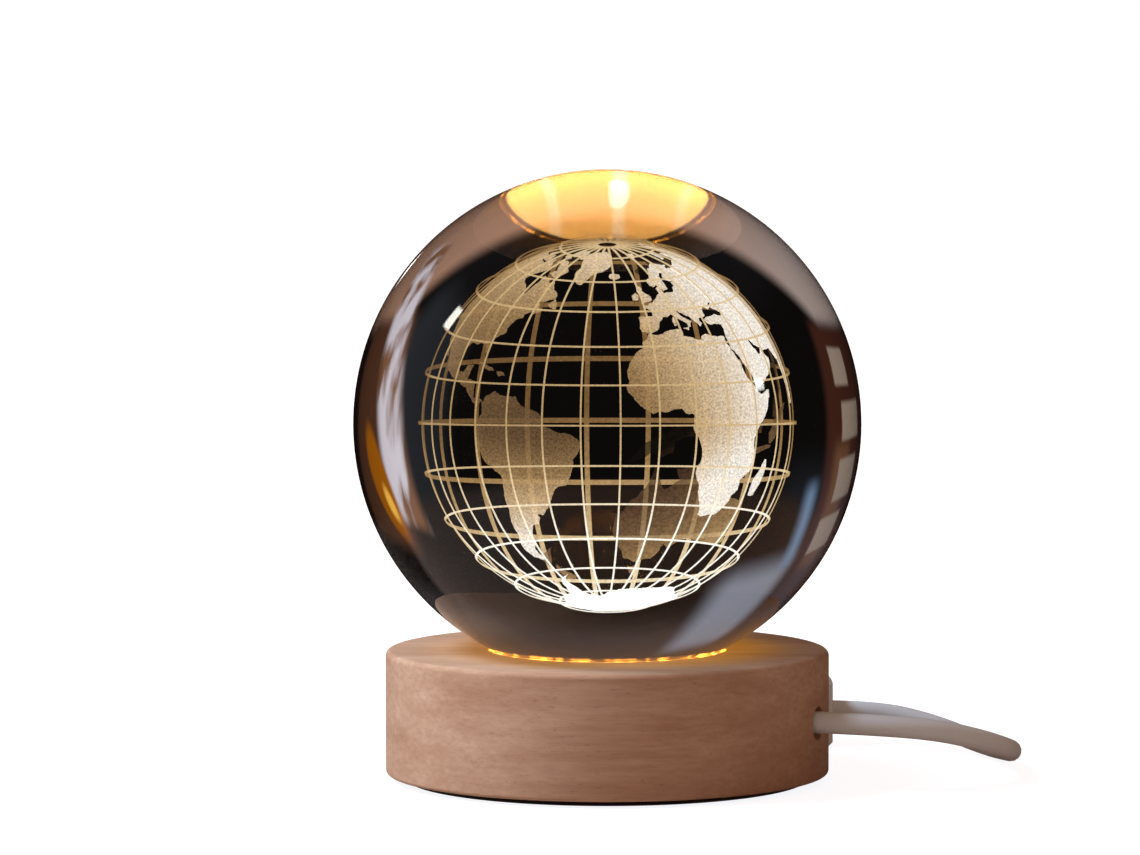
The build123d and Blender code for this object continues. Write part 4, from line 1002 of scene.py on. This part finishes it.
@dataclass
class EngravedGlobe:
    """The globe inside the ball: a fine grid of parallels and meridians over lands with natural coasts.

    The lines are drawn wider at the back, where the points lie less close together. Radii,
    widths and depths are millimetres, and the grid, step and border are degrees.
    """

    parallel_radius: float = 19.59
    meridian_radius: float = 19.33
    land_radius: float = 19.17
    land_depth: float = 0.16
    polar_radius: float = 19.52
    polar_depth: float = 0.1
    line_width: float = 0.21
    back_width: float = 0.4
    widen_ahead: float = 0.2
    line_depth: float = 0.1
    grid: int = 15
    first_meridian: int = -5
    meridian_end: float = 87.0
    tilt: float = 3.1
    facing: float = -25.0
    step: float = 4.0
    cut_margin: float = 1e-5
    wander: float = 0.1
    rounds: int = 2
    border: float = 40.5
    polar: str = "engraved_antarctica"
    ring_facets: int = 144

    def turn(self) -> Matrix:
        """Returns how the globe stands in the ball."""
        facing = Matrix.Rotation(math.radians(-self.facing - 90), 4, "Z")
        return Matrix.Rotation(-math.radians(self.tilt), 4, "X") @ facing

    def direction(self, latitude: float, longitude: float) -> Vector:
        """Turns a place on the globe into a direction from its middle.

        Args:
            latitude: Degrees north.
            longitude: Degrees east.

        Returns:
            The direction.
        """
        north, east = math.radians(latitude), math.radians(longitude)
        flat = Vector((math.cos(north) * math.cos(east), math.cos(north) * math.sin(east), math.sin(north)))
        return self.turn().to_3x3() @ flat

    def to_flat(self, name: str, latitude: float, longitude: float) -> Vector:
        """Puts a place on the land's own flat map, which is round for the polar land.

        Args:
            name: The land.
            latitude: Degrees north.
            longitude: Degrees east.

        Returns:
            The spot on the map, in degrees.
        """
        if name != self.polar:
            return Vector((longitude, latitude, 0))
        reach, angle = 90 + latitude, math.radians(longitude)
        return Vector((reach * math.cos(angle), reach * math.sin(angle), 0))

    def from_flat(self, name: str, spot: Vector) -> Vector:
        """Takes a spot from the land's own flat map back to the globe.

        Args:
            name: The land.
            spot: The spot on the map, in degrees.

        Returns:
            Its direction from the globe's middle.
        """
        if name != self.polar:
            return self.direction(spot.y, spot.x)
        return self.direction(math.hypot(spot.x, spot.y) - 90, math.degrees(math.atan2(spot.y, spot.x)))

    def coast(self, corners: Sequence[Vector], dice: random.Random) -> list[Vector]:
        """Gives a coast natural bays and headlands between its corners.

        Args:
            corners: The coast's corners on the flat map. Its run along a land border stays straight.
            dice: The source of its wandering.

        Returns:
            The coast's points on the flat map.
        """
        points = list(corners)
        for _ in range(self.rounds):
            finer = []
            for start, end in zip(points, points[1:] + points[:1]):
                run = end - start
                inland = start.x == end.x == self.border
                off = 0.0 if inland else dice.uniform(-self.wander, self.wander)
                finer += [start, (start + end) / 2 + Vector((-run.y, run.x, 0)) * off]
            points = finer
        return points

    def finish_piece(self, piece: Piece, node: str) -> Piece:
        """Puts an engraved piece in its CAD node's place and reports it.

        Args:
            piece: The piece, already in place.
            node: The CAD node that it stands for.

        Returns:
            The same piece.
        """
        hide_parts(node)
        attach(piece, Body.BALL.value)
        piece.visible_glossy = False
        log.info("%s has %d faces", piece.name, len(piece.data.polygons))
        return piece

    def cut_strips(self, bm: Mesh) -> None:
        """Cuts flat lands both ways into strips no wider than a step, so that they wrap the globe.

        Args:
            bm: The lands' flat mesh.
        """
        for normal in ((1, 0, 0), (0, 1, 0)):
            places = [vert.co.dot(Vector(normal)) for vert in bm.verts]
            line = math.ceil(min(places) / self.step) * self.step
            while line < max(places):
                geometry = bm.verts[:] + bm.edges[:] + bm.faces[:]
                bmesh.ops.bisect_plane(bm, geom=geometry, dist=self.cut_margin,
                                       plane_co=Vector(normal) * line, plane_no=normal)
                line += self.step
        bmesh.ops.triangulate(bm, faces=bm.faces)

    def land(self, name: str, middle: Vector, material: Material) -> Piece:
        """Builds a land as a thin shell, in place of its CAD node.

        Args:
            name: The land's node.
            middle: The globe's middle, in metres.
            material: The engraving.

        Returns:
            The land.
        """
        dice = random.Random(name)
        bm = bmesh.new()
        for patch in LANDS[name]:
            corners = [self.to_flat(name, latitude, longitude) for latitude, longitude in patch]
            bm.faces.new([bm.verts.new(point) for point in self.coast(corners, dice)])
        bm.normal_update()
        bmesh.ops.triangulate(bm, faces=bm.faces, ngon_method="EAR_CLIP")
        self.cut_strips(bm)
        radius = self.polar_radius if name == self.polar else self.land_radius
        depth = self.polar_depth if name == self.polar else self.land_depth
        for vert in bm.verts:
            vert.co = middle + self.from_flat(name, vert.co) * radius * MM
        inner = bmesh.ops.extrude_face_region(bm, geom=bm.faces[:], use_keep_orig=True)["geom"]
        sink = Matrix.Translation(middle) @ Matrix.Scale(1 - depth / radius, 4) @ Matrix.Translation(-middle)
        inner = [part for part in inner if isinstance(part, bmesh.types.BMVert)]
        bmesh.ops.transform(bm, matrix=sink, verts=inner)
        bmesh.ops.recalc_face_normals(bm, faces=bm.faces)
        return self.finish_piece(new_piece(name.replace("engraved_", "land_"), bm, material), name)

    def ring(self, bm: Mesh, radius: float, latitude: float) -> None:
        """Adds a parallel round the globe's axis.

        Args:
            bm: The mesh that it is added to.
            radius: The radius of its sphere, in millimetres.
            latitude: Its latitude, in degrees.
        """
        half, depth = math.degrees(self.line_width / 2 / radius), self.line_depth / 2
        south, north = math.radians(latitude - half), math.radians(latitude + half)
        corners = [(south, -depth), (south, depth), (north, depth), (north, -depth)]
        loop = [bm.verts.new(Vector((math.cos(edge), 0, math.sin(edge))) * (radius + out) * MM)
                for edge, out in corners]
        edges = [bm.edges.new(pair) for pair in zip(loop, loop[1:] + loop[:1])]
        bmesh.ops.spin(bm, geom=loop + edges, axis=(0, 0, 1), cent=(0, 0, 0), dvec=(0, 0, 0),
                       angle=math.tau, steps=self.ring_facets, use_merge=True, use_duplicate=False)

    def meridian(self, bm: Mesh, radius: float, longitude: float) -> None:
        """Adds a meridian from near one pole to near the other.

        Args:
            bm: The mesh that it is added to.
            radius: The radius of its sphere, in millimetres.
            longitude: Its longitude, in degrees.
        """
        width, depth = self.line_width / 2, self.line_depth / 2
        loop = [bm.verts.new(Vector((radius + out, side, 0)) * MM)
                for out, side in ((-depth, -width), (depth, -width), (depth, width), (-depth, width))]
        end = bm.faces.new(loop)
        spread = math.radians(self.meridian_end)
        bmesh.ops.rotate(bm, verts=loop, cent=(0, 0, 0), matrix=Matrix.Rotation(spread, 3, "Y"))
        before = set(bm.verts) - set(loop)
        bmesh.ops.spin(bm, geom=[end], axis=(0, 1, 0), cent=(0, 0, 0), dvec=(0, 0, 0),
                       angle=-2 * spread, steps=self.ring_facets // 2, use_duplicate=False)
        line = [vert for vert in bm.verts if vert not in before]
        turn = Matrix.Rotation(math.radians(longitude), 3, "Z")
        bmesh.ops.rotate(bm, verts=line, cent=(0, 0, 0), matrix=turn)

    def widen(self, bm: Mesh, middle: Vector, across: Callable[[Vector], Vector]) -> None:
        """Turns the lines into place and widens them towards the back.

        Args:
            bm: The lines' mesh, round the origin.
            middle: Where the globe's middle goes, in metres.
            across: Gives the way across a line from a point's place on the unturned globe, as
                its offset from the line's middle.
        """
        turn = self.turn().to_3x3()
        for vert in bm.verts:
            offset = across(vert.co)
            place = turn @ vert.co
            back = min(max(place.y / self.parallel_radius / MM + self.widen_ahead, 0.0), 1.0)
            more = (self.back_width / self.line_width - 1) * back
            vert.co = middle + place + turn @ offset * more
        bmesh.ops.recalc_face_normals(bm, faces=bm.faces)

    def parallel_offset(self, place: Vector) -> Vector:
        """Measures how far a point of a parallel lies north of its line.

        Args:
            place: The point's place on the unturned globe.

        Returns:
            Its offset from the line.
        """
        latitude = math.degrees(math.asin(place.z / place.length))
        line = math.radians(round(latitude / self.grid) * self.grid)
        level = Vector((place.x, place.y, 0)).normalized() * math.cos(line) + Vector((0, 0, math.sin(line)))
        return place - level * place.length

    def meridian_offset(self, place: Vector) -> Vector:
        """Measures how far a point of a meridian lies east of its line.

        Args:
            place: The point's place on the unturned globe.

        Returns:
            Its offset from the line.
        """
        longitude = math.degrees(math.atan2(place.y, place.x)) - self.first_meridian
        line = math.radians(round(longitude / self.grid) * self.grid + self.first_meridian)
        east = Vector((-math.sin(line), math.cos(line), 0))
        return east * place.dot(east)

    def lines(self, middle: Vector, material: Material) -> None:
        """Builds the parallels and the meridians, in place of their CAD nodes.

        Args:
            middle: The globe's middle, in metres.
            material: The engraving.
        """
        bm = bmesh.new()
        for latitude in range(-90 + self.grid, 90, self.grid):
            self.ring(bm, self.parallel_radius, latitude)
        self.widen(bm, middle, self.parallel_offset)
        self.finish_piece(new_piece("grid_parallels", bm, material), "engraved_parallels")
        bm = bmesh.new()
        for longitude in range(self.first_meridian, self.first_meridian + 360, self.grid):
            self.meridian(bm, self.meridian_radius, longitude)
        self.widen(bm, middle, self.meridian_offset)
        self.finish_piece(new_piece("grid_meridians", bm, material), "engraved_meridians")

    def finishes(self, middle: Vector) -> tuple[Material, ...]:
        """Mixes the globe's three engravings.

        Args:
            middle: The globe's middle, in metres.

        Returns:
            The materials of the lands, the polar land and the lines.
        """
        radius = self.parallel_radius * MM
        land_tones = (srgb(16, 12, 8), srgb(72, 52, 35), srgb(107, 82, 55), srgb(148, 118, 78),
                      srgb(190, 160, 118), srgb(218, 197, 168), srgb(244, 236, 224))
        # The polar land's brighter tones are painted glow: it lies lowest, nearest the lights.
        polar_glow_tones = (srgb(120, 100, 75), srgb(230, 220, 200), (1.3, 1.25, 1.15))
        line_tones = (srgb(110, 82, 48), srgb(158, 124, 78), srgb(205, 176, 128), srgb(238, 216, 176),
                      (1.1, 1.05, 0.93))
        return (
            Engraving("engraved_land", middle, radius, land_tones,
                      grit=0.4, lowest=-0.44, far_north=0.9, turn=(0.1, 0.65)).build(),
            Engraving("engraved_polar_glow", middle, radius, polar_glow_tones, level=0.4, side=0.0, back=2.1).build(),
            Engraving("engraved_line", middle, radius, line_tones, level=0.3, side=0.1, rim=0.0,
                      height=0.2, back=0.45, veil=0.35, grit=0.2).build(),
        )

    def build(self, middle: Vector) -> None:
        """Builds the lands and the lines.

        Args:
            middle: The globe's middle, in metres.
        """
        plain, bright, fine = self.finishes(middle)
        for name in LANDS:
            self.land(name, middle, bright if name == self.polar else plain)
        self.lines(middle, fine)


@dataclass
class SupplyLead:
    """The USB lead: from the base to its switch, and from the switch through its coil to its plug.

    Sizes are millimetres and angles are degrees. The settle values say how the coil's left side
    has sagged and slid inwards since it was wound.
    """

    diameter: float = 3.4
    base_radius: float = 35.0
    angle: float = -20.0
    height: float = 10.29
    inner_end: float = 22.7
    exit_run: float = 9.3
    switch_x: float = 17.4
    switch_y: float = 42.0
    switch_length: float = 40.0
    switch_middle: float = 5.5
    entry: float = 3.5
    plug_x: float = -2.0
    plug_y: float = 109.9
    plug_middle: float = 3.75
    coil_x: float = -3.8
    coil_y: float = 76.2
    coil_start: float = 195.0
    coil_outer: float = 25.6
    radial_pitch: float = 4.6
    layer_pitch: float = 4.2
    bottom_half_turns: int = 5
    layer_half_turns: int = 4
    layers: int = 4
    coil_rest: float = 2.4
    coil_run_in: float = 11.3
    coil_run_out: float = 9.0
    settle_start: float = 5.0
    settle_reach: float = 25.0
    settle_shift: float = 4.5
    settle_pitch: float = 3.5
    points_per_half_turn: int = 12
    round_facets: int = 5
    smooth_steps: int = 6

    def outward(self, along: float) -> Vector:
        """Returns a place on the lead's straight way out of the base."""
        angle = math.radians(self.angle)
        return Vector((along * math.cos(angle), along * math.sin(angle), self.height))

    def to_switch(self) -> list[Vector]:
        """Lays the lead from inside the base to the switch.

        Returns:
            The points of its route.
        """
        return [
            self.outward(self.inner_end),
            self.outward(self.base_radius),
            self.outward(self.base_radius + self.exit_run),
            Vector((51.2, -14.0, 9.4)),
            Vector((59.1, -8.6, 7.0)),
            Vector((63.9, 0.0, 4.4)),
            Vector((64.9, 13.4, 2.4)),
            Vector((61.4, 26.6, 1.75)),
            Vector((54.0, 36.7, 3.9)),
            Vector((44.4, self.switch_y, self.switch_middle)),
            Vector((self.switch_x + self.switch_length / 2 - self.entry, self.switch_y, self.switch_middle)),
        ]

    def coil(self) -> list[Vector]:
        """Winds the coil: half circles that spiral in and out, and climb where the spiral reverses.

        Returns:
            Points along its turns.
        """
        steps: list[tuple[int, int]] = []
        for layer in range(self.layers):
            flat_turns = self.bottom_half_turns if layer == 0 else self.layer_half_turns
            steps += [(-1 if layer % 2 == 0 else 1, 0)] * flat_turns
            if layer < self.layers - 1:
                steps.append((0, 1))
        reach, height = self.coil_outer, self.coil_rest
        ends = []
        for number, (step, climb) in enumerate([(0, 0)] + steps):
            reach += step * self.radial_pitch / 2
            height += climb * self.layer_pitch
            angle = math.radians(self.coil_start + 180 * number)
            x, y = self.coil_x + reach * math.cos(angle), self.coil_y + reach * math.sin(angle)
            ends.append(Vector((x, y, height)))
        points = []
        for number, (start, end) in enumerate(zip(ends, ends[1:])):
            middle = (start + end) / 2
            side = math.radians(self.coil_start - 90 - 180 * number)
            outward = Vector((math.cos(side), math.sin(side), 0)) * (middle - start).length
            for step in range(self.points_per_half_turn):
                turn = math.pi * step / self.points_per_half_turn
                points.append(middle + (start - middle) * math.cos(turn) + outward * math.sin(turn))
        return points + [ends[-1]]

    def settled(self, point: Vector) -> Vector:
        """Moves a point of the coil as its left side has sagged and slid inwards.

        Args:
            point: The point as it was wound.

        Returns:
            The point as it lies.
        """
        share = min(max((self.coil_x + self.settle_start - point.x) / self.settle_reach, 0.0), 1.0)
        weight = share * share * (3 - 2 * share)
        sag = max(point.z - self.coil_rest, 0.0) * (1 - self.settle_pitch / self.layer_pitch)
        return point + Vector((self.settle_shift, 0, -sag)) * weight

    def to_plug(self) -> list[Vector]:
        """Lays the lead from the switch through the coil to the plug.

        Returns:
            The points of its route.
        """
        side = math.radians(self.coil_start - 90)
        heading = Vector((math.cos(side), math.sin(side), 0))
        turns = self.coil()
        start, end = turns[0] - heading * self.diameter, turns[-1] + heading * self.diameter
        return [
            Vector((self.switch_x - self.switch_length / 2 + self.entry, self.switch_y, self.switch_middle)),
            Vector((-8.4, self.switch_y, self.switch_middle)),
            Vector((-17.1, 45.9, 3.5)),
            self.settled(start - heading * self.coil_run_in),
            *(self.settled(point) for point in turns),
            self.settled(end + heading * self.coil_run_out),
            self.settled(Vector((-27.6, 95.6, 11.6))),
            Vector((-21.8, 104.9, 6.2)),
            Vector((-11.8, self.plug_y, self.plug_middle)),
            Vector((self.plug_x, self.plug_y, self.plug_middle)),
        ]

    def tube(self, name: str, route: Iterable[Vector], material: Material) -> Piece:
        """Makes a smooth round tube.

        Args:
            name: The piece's name.
            route: Points that the tube's middle follows, in millimetres.
            material: The jacket.

        Returns:
            The tube, as a curve.
        """
        points = [point * MM for point in route]
        curve = bpy.data.curves.new(name, "CURVE")
        curve.dimensions = "3D"
        curve.bevel_depth = self.diameter / 2 * MM
        curve.bevel_resolution = self.round_facets
        curve.resolution_u = self.smooth_steps
        curve.use_fill_caps = True
        spline = curve.splines.new("NURBS")
        spline.points.add(len(points) - 1)
        for control, point in zip(spline.points, points):
            control.co = (*point, 1.0)
        spline.order_u = 3
        spline.use_endpoint_u = True
        curve.materials.append(material)
        piece = bpy.data.objects.new(name, curve)
        bpy.context.scene.collection.objects.link(piece)
        return piece

    @staticmethod
    def length(piece: Piece) -> float:
        """Returns a tube's length along its middle, in metres."""
        return piece.data.splines[0].calc_length()

    def build(self, material: Material, switch: list[str], plug: list[str]) -> list[Piece]:
        """Builds the lead in place of its CAD nodes.

        Args:
            material: The jacket.
            switch: The switch's nodes; not used.
            plug: The plug's nodes; not used.

        Returns:
            Its two stretches.
        """
        first = self.tube("lead_to_switch", self.to_switch(), material)
        second = self.tube("lead_to_plug", self.to_plug(), material)
        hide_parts("cord_lead", "cord_to_switch")
        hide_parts("cord_to_coil", "cord_coil", "cord_to_plug")
        exits = (self.outward(self.base_radius), self.to_plug()[0])
        for piece, way_out, far_end, lay, pieces in zip(
                (first, second), exits, ("fitting", "plug"), ("loose", "coiled"), (switch, plug)):
            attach(piece, Body.BASE.value)
            self.length(piece)
            log.info("%s is %.3f m long", piece.name, self.length(piece))
        return [first, second]


class Seen(Enum):
    """How the glass can show a patch of the room."""

    EITHER_WAY = "either_way"
    THROUGH = "through"
    MIRRORED = "mirrored"


@dataclass(frozen=True)
class Patch:
    """A soft-edged patch of the room, in degrees round and above the ball.

    The middle and half give its place and its half sizes, soft the width of its edge, and lean
    how far it leans round for each degree up. A streak is a second colour that runs through it.
    """

    middle: Pair
    half: Pair
    soft: float
    tone: Colour
    seen: Seen = Seen.THROUGH
    lean: float = 0.0
    round_edge: bool = False
    streak: Colour | None = None

    def share(self, graph: Graph, around: Socket, above: Socket) -> Socket:
        """Works out how much of a direction the patch covers.

        Args:
            graph: The room's graph.
            around: The direction's angle round the ball.
            above: Its angle above the horizon.

        Returns:
            A share from 0 to 1.
        """
        offs = [graph.math("SUBTRACT", value, centre) for value, centre in zip((around, above), self.middle)]
        offs[0] = graph.math("MULTIPLY_ADD", offs[1], -self.lean, graph.wrapped(offs[0]))
        if self.round_edge:
            shares = [graph.math("DIVIDE", off, reach) for off, reach in zip(offs, self.half)]
            squares = [graph.math("MULTIPLY", part, part) for part in shares]
            far = graph.math("SQRT", graph.math("ADD", *squares))
            edge = self.soft / min(self.half) / 2
            return graph.span(far, 1 - edge, 1 + edge, 1.0, 0.0, smooth=True)
        edge = self.soft / 2
        masks = [graph.span(graph.math("ABSOLUTE", off), reach - edge, reach + edge, 1.0, 0.0, smooth=True)
                 for off, reach in zip(offs, self.half)]
        return graph.math("MULTIPLY", *masks)


@dataclass(frozen=True)
class Room:
    """The world: white to the eye, soft to the object, and a dark room in the glass.

    In the glass a brown ground fills what lies below its curved far edge. Soft patches lie
    behind it and before it.
    """

    ambient: float = 0.33
    soft_light: Colour = (1.0, 0.68, 0.5)
    darkness: Colour = srgb(12, 10, 9)
    ground_light: Colour = srgb(176, 132, 104)
    ground_dark: Colour = srgb(150, 118, 104)
    ground_left: Colour = srgb(168, 150, 143)
    ground_middle: float = 90.0
    ground_curve: float = 0.0078
    ground_lowest: float = -46.0
    ground_highest: float = -23.0
    ground_soft: float = 4.0
    ground_turn: Pair = (-0.2, -0.65)
    streak_scale: Point = (9.0, 9.0, 2.0)
    streak_edges: Pair = (0.45, 0.6)
    far_patches: tuple[Patch, ...] = (
        Patch((172, 0), (20, 50), 16, srgb(128, 136, 148), Seen.MIRRORED),
        Patch((35, -38), (34, 24), 20, srgb(96, 102, 116), Seen.MIRRORED),
    )
    near_patches: tuple[Patch, ...] = (
        Patch((90, 62), (120, 24), 16, srgb(54, 53, 58), Seen.EITHER_WAY),
        Patch((31, 0), (15, 24), 6, srgb(80, 50, 34)),
        Patch((40.5, -13), (6, 30), 4, srgb(214, 206, 214), lean=0.22, streak=srgb(128, 88, 62)),
        Patch((35, 10), (6, 11.5), 2.5, srgb(158, 90, 12), lean=0.5, round_edge=True),
        Patch((38.5, 14), (2, 3.4), 2, srgb(252, 190, 80), lean=0.5, round_edge=True),
        Patch((160, 9), (22, 32), 4, srgb(64, 34, 24)),
        Patch((149, 16), (6, 14), 6, srgb(106, 70, 46)),
        Patch((122, 38), (11, 13), 9, srgb(130, 136, 150), lean=-0.2),
        Patch((133.5, 18), (2, 9), 5, srgb(108, 132, 160)),
        *(
            Patch(middle, half, 1.4, srgb(152, 134, 119))
            for middle, half in (
                ((150.5, -14), (6, 4)), ((156.5, -2.5), (9, 4)),
                ((155.5, 10), (8.5, 4.6)), ((151, 22), (8, 4.2)),
            )
        ),
        Patch((174, 34), (2.6, 3.8), 1.5, (16.0, 16.0, 15.0), Seen.MIRRORED),
        Patch((-15, 15), (2.4, 2), 1.5, (16.0, 16.0, 15.0), Seen.MIRRORED),
        Patch((104, 7), (1.2, 1), 0.8, (4.0, 4.0, 4.0), Seen.MIRRORED),
    )

    def ground(self, graph: Graph, way: Socket, around: Socket, above: Socket,
              streaks: Socket) -> tuple[Socket, Socket]:
        """Paints the ground.

        Args:
            graph: The room's graph.
            way: How far a direction points to the right.
            around: Its angle round the ball.
            above: Its angle above the horizon.
            streaks: The room's streaks.

        Returns:
            How much of a direction the ground covers, and its colour.
        """
        aside = graph.wrapped(graph.math("SUBTRACT", around, self.ground_middle))
        aside = graph.math("MULTIPLY", aside, aside)
        edge = graph.math("MULTIPLY_ADD", aside, self.ground_curve, self.ground_lowest)
        over = graph.math("SUBTRACT", above, graph.math("MINIMUM", edge, self.ground_highest))
        share = graph.span(over, -self.ground_soft, self.ground_soft, 1.0, 0.0, smooth=True)
        colour = graph.mix(streaks, self.ground_light, self.ground_dark)
        return share, graph.mix(graph.span(way, *self.ground_turn, 0.0, 1.0), colour, self.ground_left)

    def build(self) -> None:
        """Builds the world."""
        world = bpy.data.worlds.new("room")
        bpy.context.scene.world = world
        world.use_nodes = True
        graph = Graph(world.node_tree)
        direction = graph.add("TexCoord").outputs["Generated"]
        x, y, z = graph.add("SeparateXYZ", {0: direction}).outputs
        around = graph.math("DEGREES", graph.math("ARCTAN2", y, x))
        above = graph.math("DEGREES", graph.math("ARCSINE", z))
        streaks = graph.noise(graph.stretched(direction, self.streak_scale), 1.0, 3.0)
        sharp = graph.span(streaks, *self.streak_edges, 0.0, 1.0)
        path = graph.add("LightPath").outputs
        through = path["Is Transmission Ray"]
        mirrored = graph.math("MULTIPLY", path["Is Glossy Ray"], graph.math("SUBTRACT", 1.0, through))
        shown = {Seen.EITHER_WAY: 1.0, Seen.THROUGH: through, Seen.MIRRORED: mirrored}

        def painted(colour: Value, patches: Iterable[Patch]) -> Value:
            """Adds patches to the room.

            Args:
                colour: The room's colour so far.
                patches: What to add, from back to front.

            Returns:
                The room's colour with them.
            """
            for patch in patches:
                tone = patch.tone if patch.streak is None else graph.mix(sharp, patch.tone, patch.streak)
                share = graph.math("MULTIPLY", patch.share(graph, around, above), shown[patch.seen])
                colour = graph.mix(share, colour, tone)
            return colour

        colour = painted(self.darkness, self.far_patches)
        share, ground = self.ground(graph, x, around, above, streaks)
        colour = painted(graph.mix(share, colour, ground), self.near_patches)
        glass = graph.math("MAXIMUM", through, mirrored)
        soft = graph.add("Background", {"Color": self.soft_light, "Strength": self.ambient})
        dark = graph.add("Background", {"Color": colour, "Strength": 1.0})
        white = graph.add("Background", {"Color": (1, 1, 1), "Strength": 1.0})
        lit = graph.add("MixShader", {0: glass, 1: soft.outputs[0], 2: dark.outputs[0]})
        every = graph.add("MixShader", {0: path["Is Camera Ray"], 1: lit.outputs[0], 2: white.outputs[0]})
        graph.finish(every.outputs[0], "OutputWorld")


@dataclass
class Studio:
    """The camera, a pale floor and soft light from a window at the left, in metres."""

    camera_distance: float = 0.8
    camera_rise: float = 3.9
    focal_pixels: float = 5079.0
    picture_width: int = 1140
    picture_height: int = 855
    ball_pixel: Pair = (607.3, 423.6)
    sensor: float = 36.0
    clip: Pair = (0.05, 50.0)
    floor_size: float = 12.0
    floor_drop: float = 0.05 * MM
    floor_colour: Colour = (0.46, 0.36, 0.29)
    lift_colour: Colour = (1.0, 1.02, 1.05)
    lift_near: float = 0.88
    lift_far: float = 0.97
    lift_reach: Pair = (0.25, 1.0)
    lamp_place: Point = (-0.74, -0.1, 0.97)
    lamp_aim: Point = (0.0, 0.0, 0.04)
    lamp_size: float = 0.36
    lamp_power: float = 22.0
    lamp_colour: Colour = (0.84, 1.06, 1.32)

    def camera(self, middle: Vector) -> None:
        """Places the camera as the photograph's.

        Args:
            middle: The ball's middle.
        """
        data = bpy.data.cameras.new("camera")
        data.sensor_width = self.sensor
        data.lens = self.focal_pixels / self.picture_width * self.sensor
        data.shift_x = -(self.ball_pixel[0] - self.picture_width / 2) / self.picture_width
        data.shift_y = (self.ball_pixel[1] - self.picture_height / 2) / self.picture_width
        data.clip_start, data.clip_end = self.clip
        camera = bpy.data.objects.new("camera", data)
        rise = math.radians(self.camera_rise)
        away = Vector((0, -math.cos(rise), math.sin(rise)))
        camera.location = middle + away * self.camera_distance
        camera.rotation_euler = (-away).to_track_quat("-Z", "Y").to_euler()
        bpy.context.scene.collection.objects.link(camera)
        bpy.context.scene.camera = camera

    def floor(self) -> None:
        """Lays the floor. The glass doesn't show it: the room's ground stands in for it there."""
        bm = bmesh.new()
        bmesh.ops.create_grid(bm, x_segments=2, y_segments=2, size=self.floor_size / 2)
        bmesh.ops.translate(bm, verts=bm.verts, vec=(0, 0, -self.floor_drop))
        material, graph = new_material("pale_floor")
        diffuse = graph.add("BsdfDiffuse", {"Color": self.floor_colour})
        seen = graph.add("LightPath").outputs["Is Camera Ray"]
        out = graph.length(graph.place())
        raised = graph.span(out, *self.lift_reach, self.lift_near, self.lift_far, smooth=True)
        strength = graph.math("MULTIPLY", seen, raised)
        lift = graph.add("Emission", {"Color": self.lift_colour, "Strength": strength})
        graph.finish(graph.add("AddShader", {0: diffuse.outputs[0], 1: lift.outputs[0]}).outputs[0])
        floor = new_piece("floor", bm, material)
        floor.visible_transmission = floor.visible_glossy = False

    def lamp(self) -> None:
        """Adds the window's soft light, which no glass shows."""
        data = bpy.data.lights.new("window_light", "AREA")
        data.shape, data.size = "SQUARE", self.lamp_size
        data.energy, data.color = self.lamp_power, self.lamp_colour
        lamp = bpy.data.objects.new("window_light", data)
        lamp.location = self.lamp_place
        aim = Vector(self.lamp_aim) - Vector(self.lamp_place)
        lamp.rotation_euler = aim.to_track_quat("-Z", "Y").to_euler()
        lamp.visible_glossy = lamp.visible_transmission = False
        bpy.context.scene.collection.objects.link(lamp)

    def build(self, middle: Vector) -> None:
        """Sets up the camera, the floor, the room and the light.

        Args:
            middle: The ball's middle.
        """
        self.camera(middle)
        self.floor()
        Room().build()
        self.lamp()
        bpy.context.scene.view_settings.view_transform = "Standard"
        log.info("studio is set")


def dressed_nodes(slots: dict[str, str]) -> dict[str, str]:
    """Picks the CAD nodes that stay.

    Args:
        slots: Slot by node.

    Returns:
        Slot by node, for the nodes that no new piece replaces.
    """
    remade = {"wooden_base", "crystal_ball", "cord_lead", "cord_to_switch",
              "cord_to_coil", "cord_coil", "cord_to_plug"}
    return {node: slot for node, slot in slots.items() if slot != "engraving" and node not in remade}


def main() -> None:
    """Builds the lamp piece by piece around its frame."""
    logging.basicConfig(level=logging.INFO, format="%(message)s")
    low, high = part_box("crystal_ball")
    middle = (low + high) / 2
    Studio().build(middle)
    materials = {name: finish.build() for name, finish in FINISHES.items()}
    base = BeechBase()
    materials["beech"] = base.finish().build()
    materials["crystal"] = Crystal().build()
    materials["phosphor"] = Phosphor().build()
    slots = {part["node"]: part["material_slot"] for part in frame["record"]["subparts"]}
    dress(materials, dressed_nodes(slots))
    switch = [node for node in slots if node.startswith("switch_")]
    plug = [node for node in slots if node.startswith("usb_")] + ["coil_strap"]
    leads = SupplyLead().build(materials["white_jacket"], switch, plug)
    for piece in leads + [frame["nodes"][name] for name in switch + plug]:
        piece.visible_transmission = piece.visible_glossy = False
    base.build(materials["beech"])
    CrystalBall().build(materials["crystal"])
    EngravedGlobe().build(middle)
    log.info("all pieces are built")


if __name__ == "__main__":
    main()
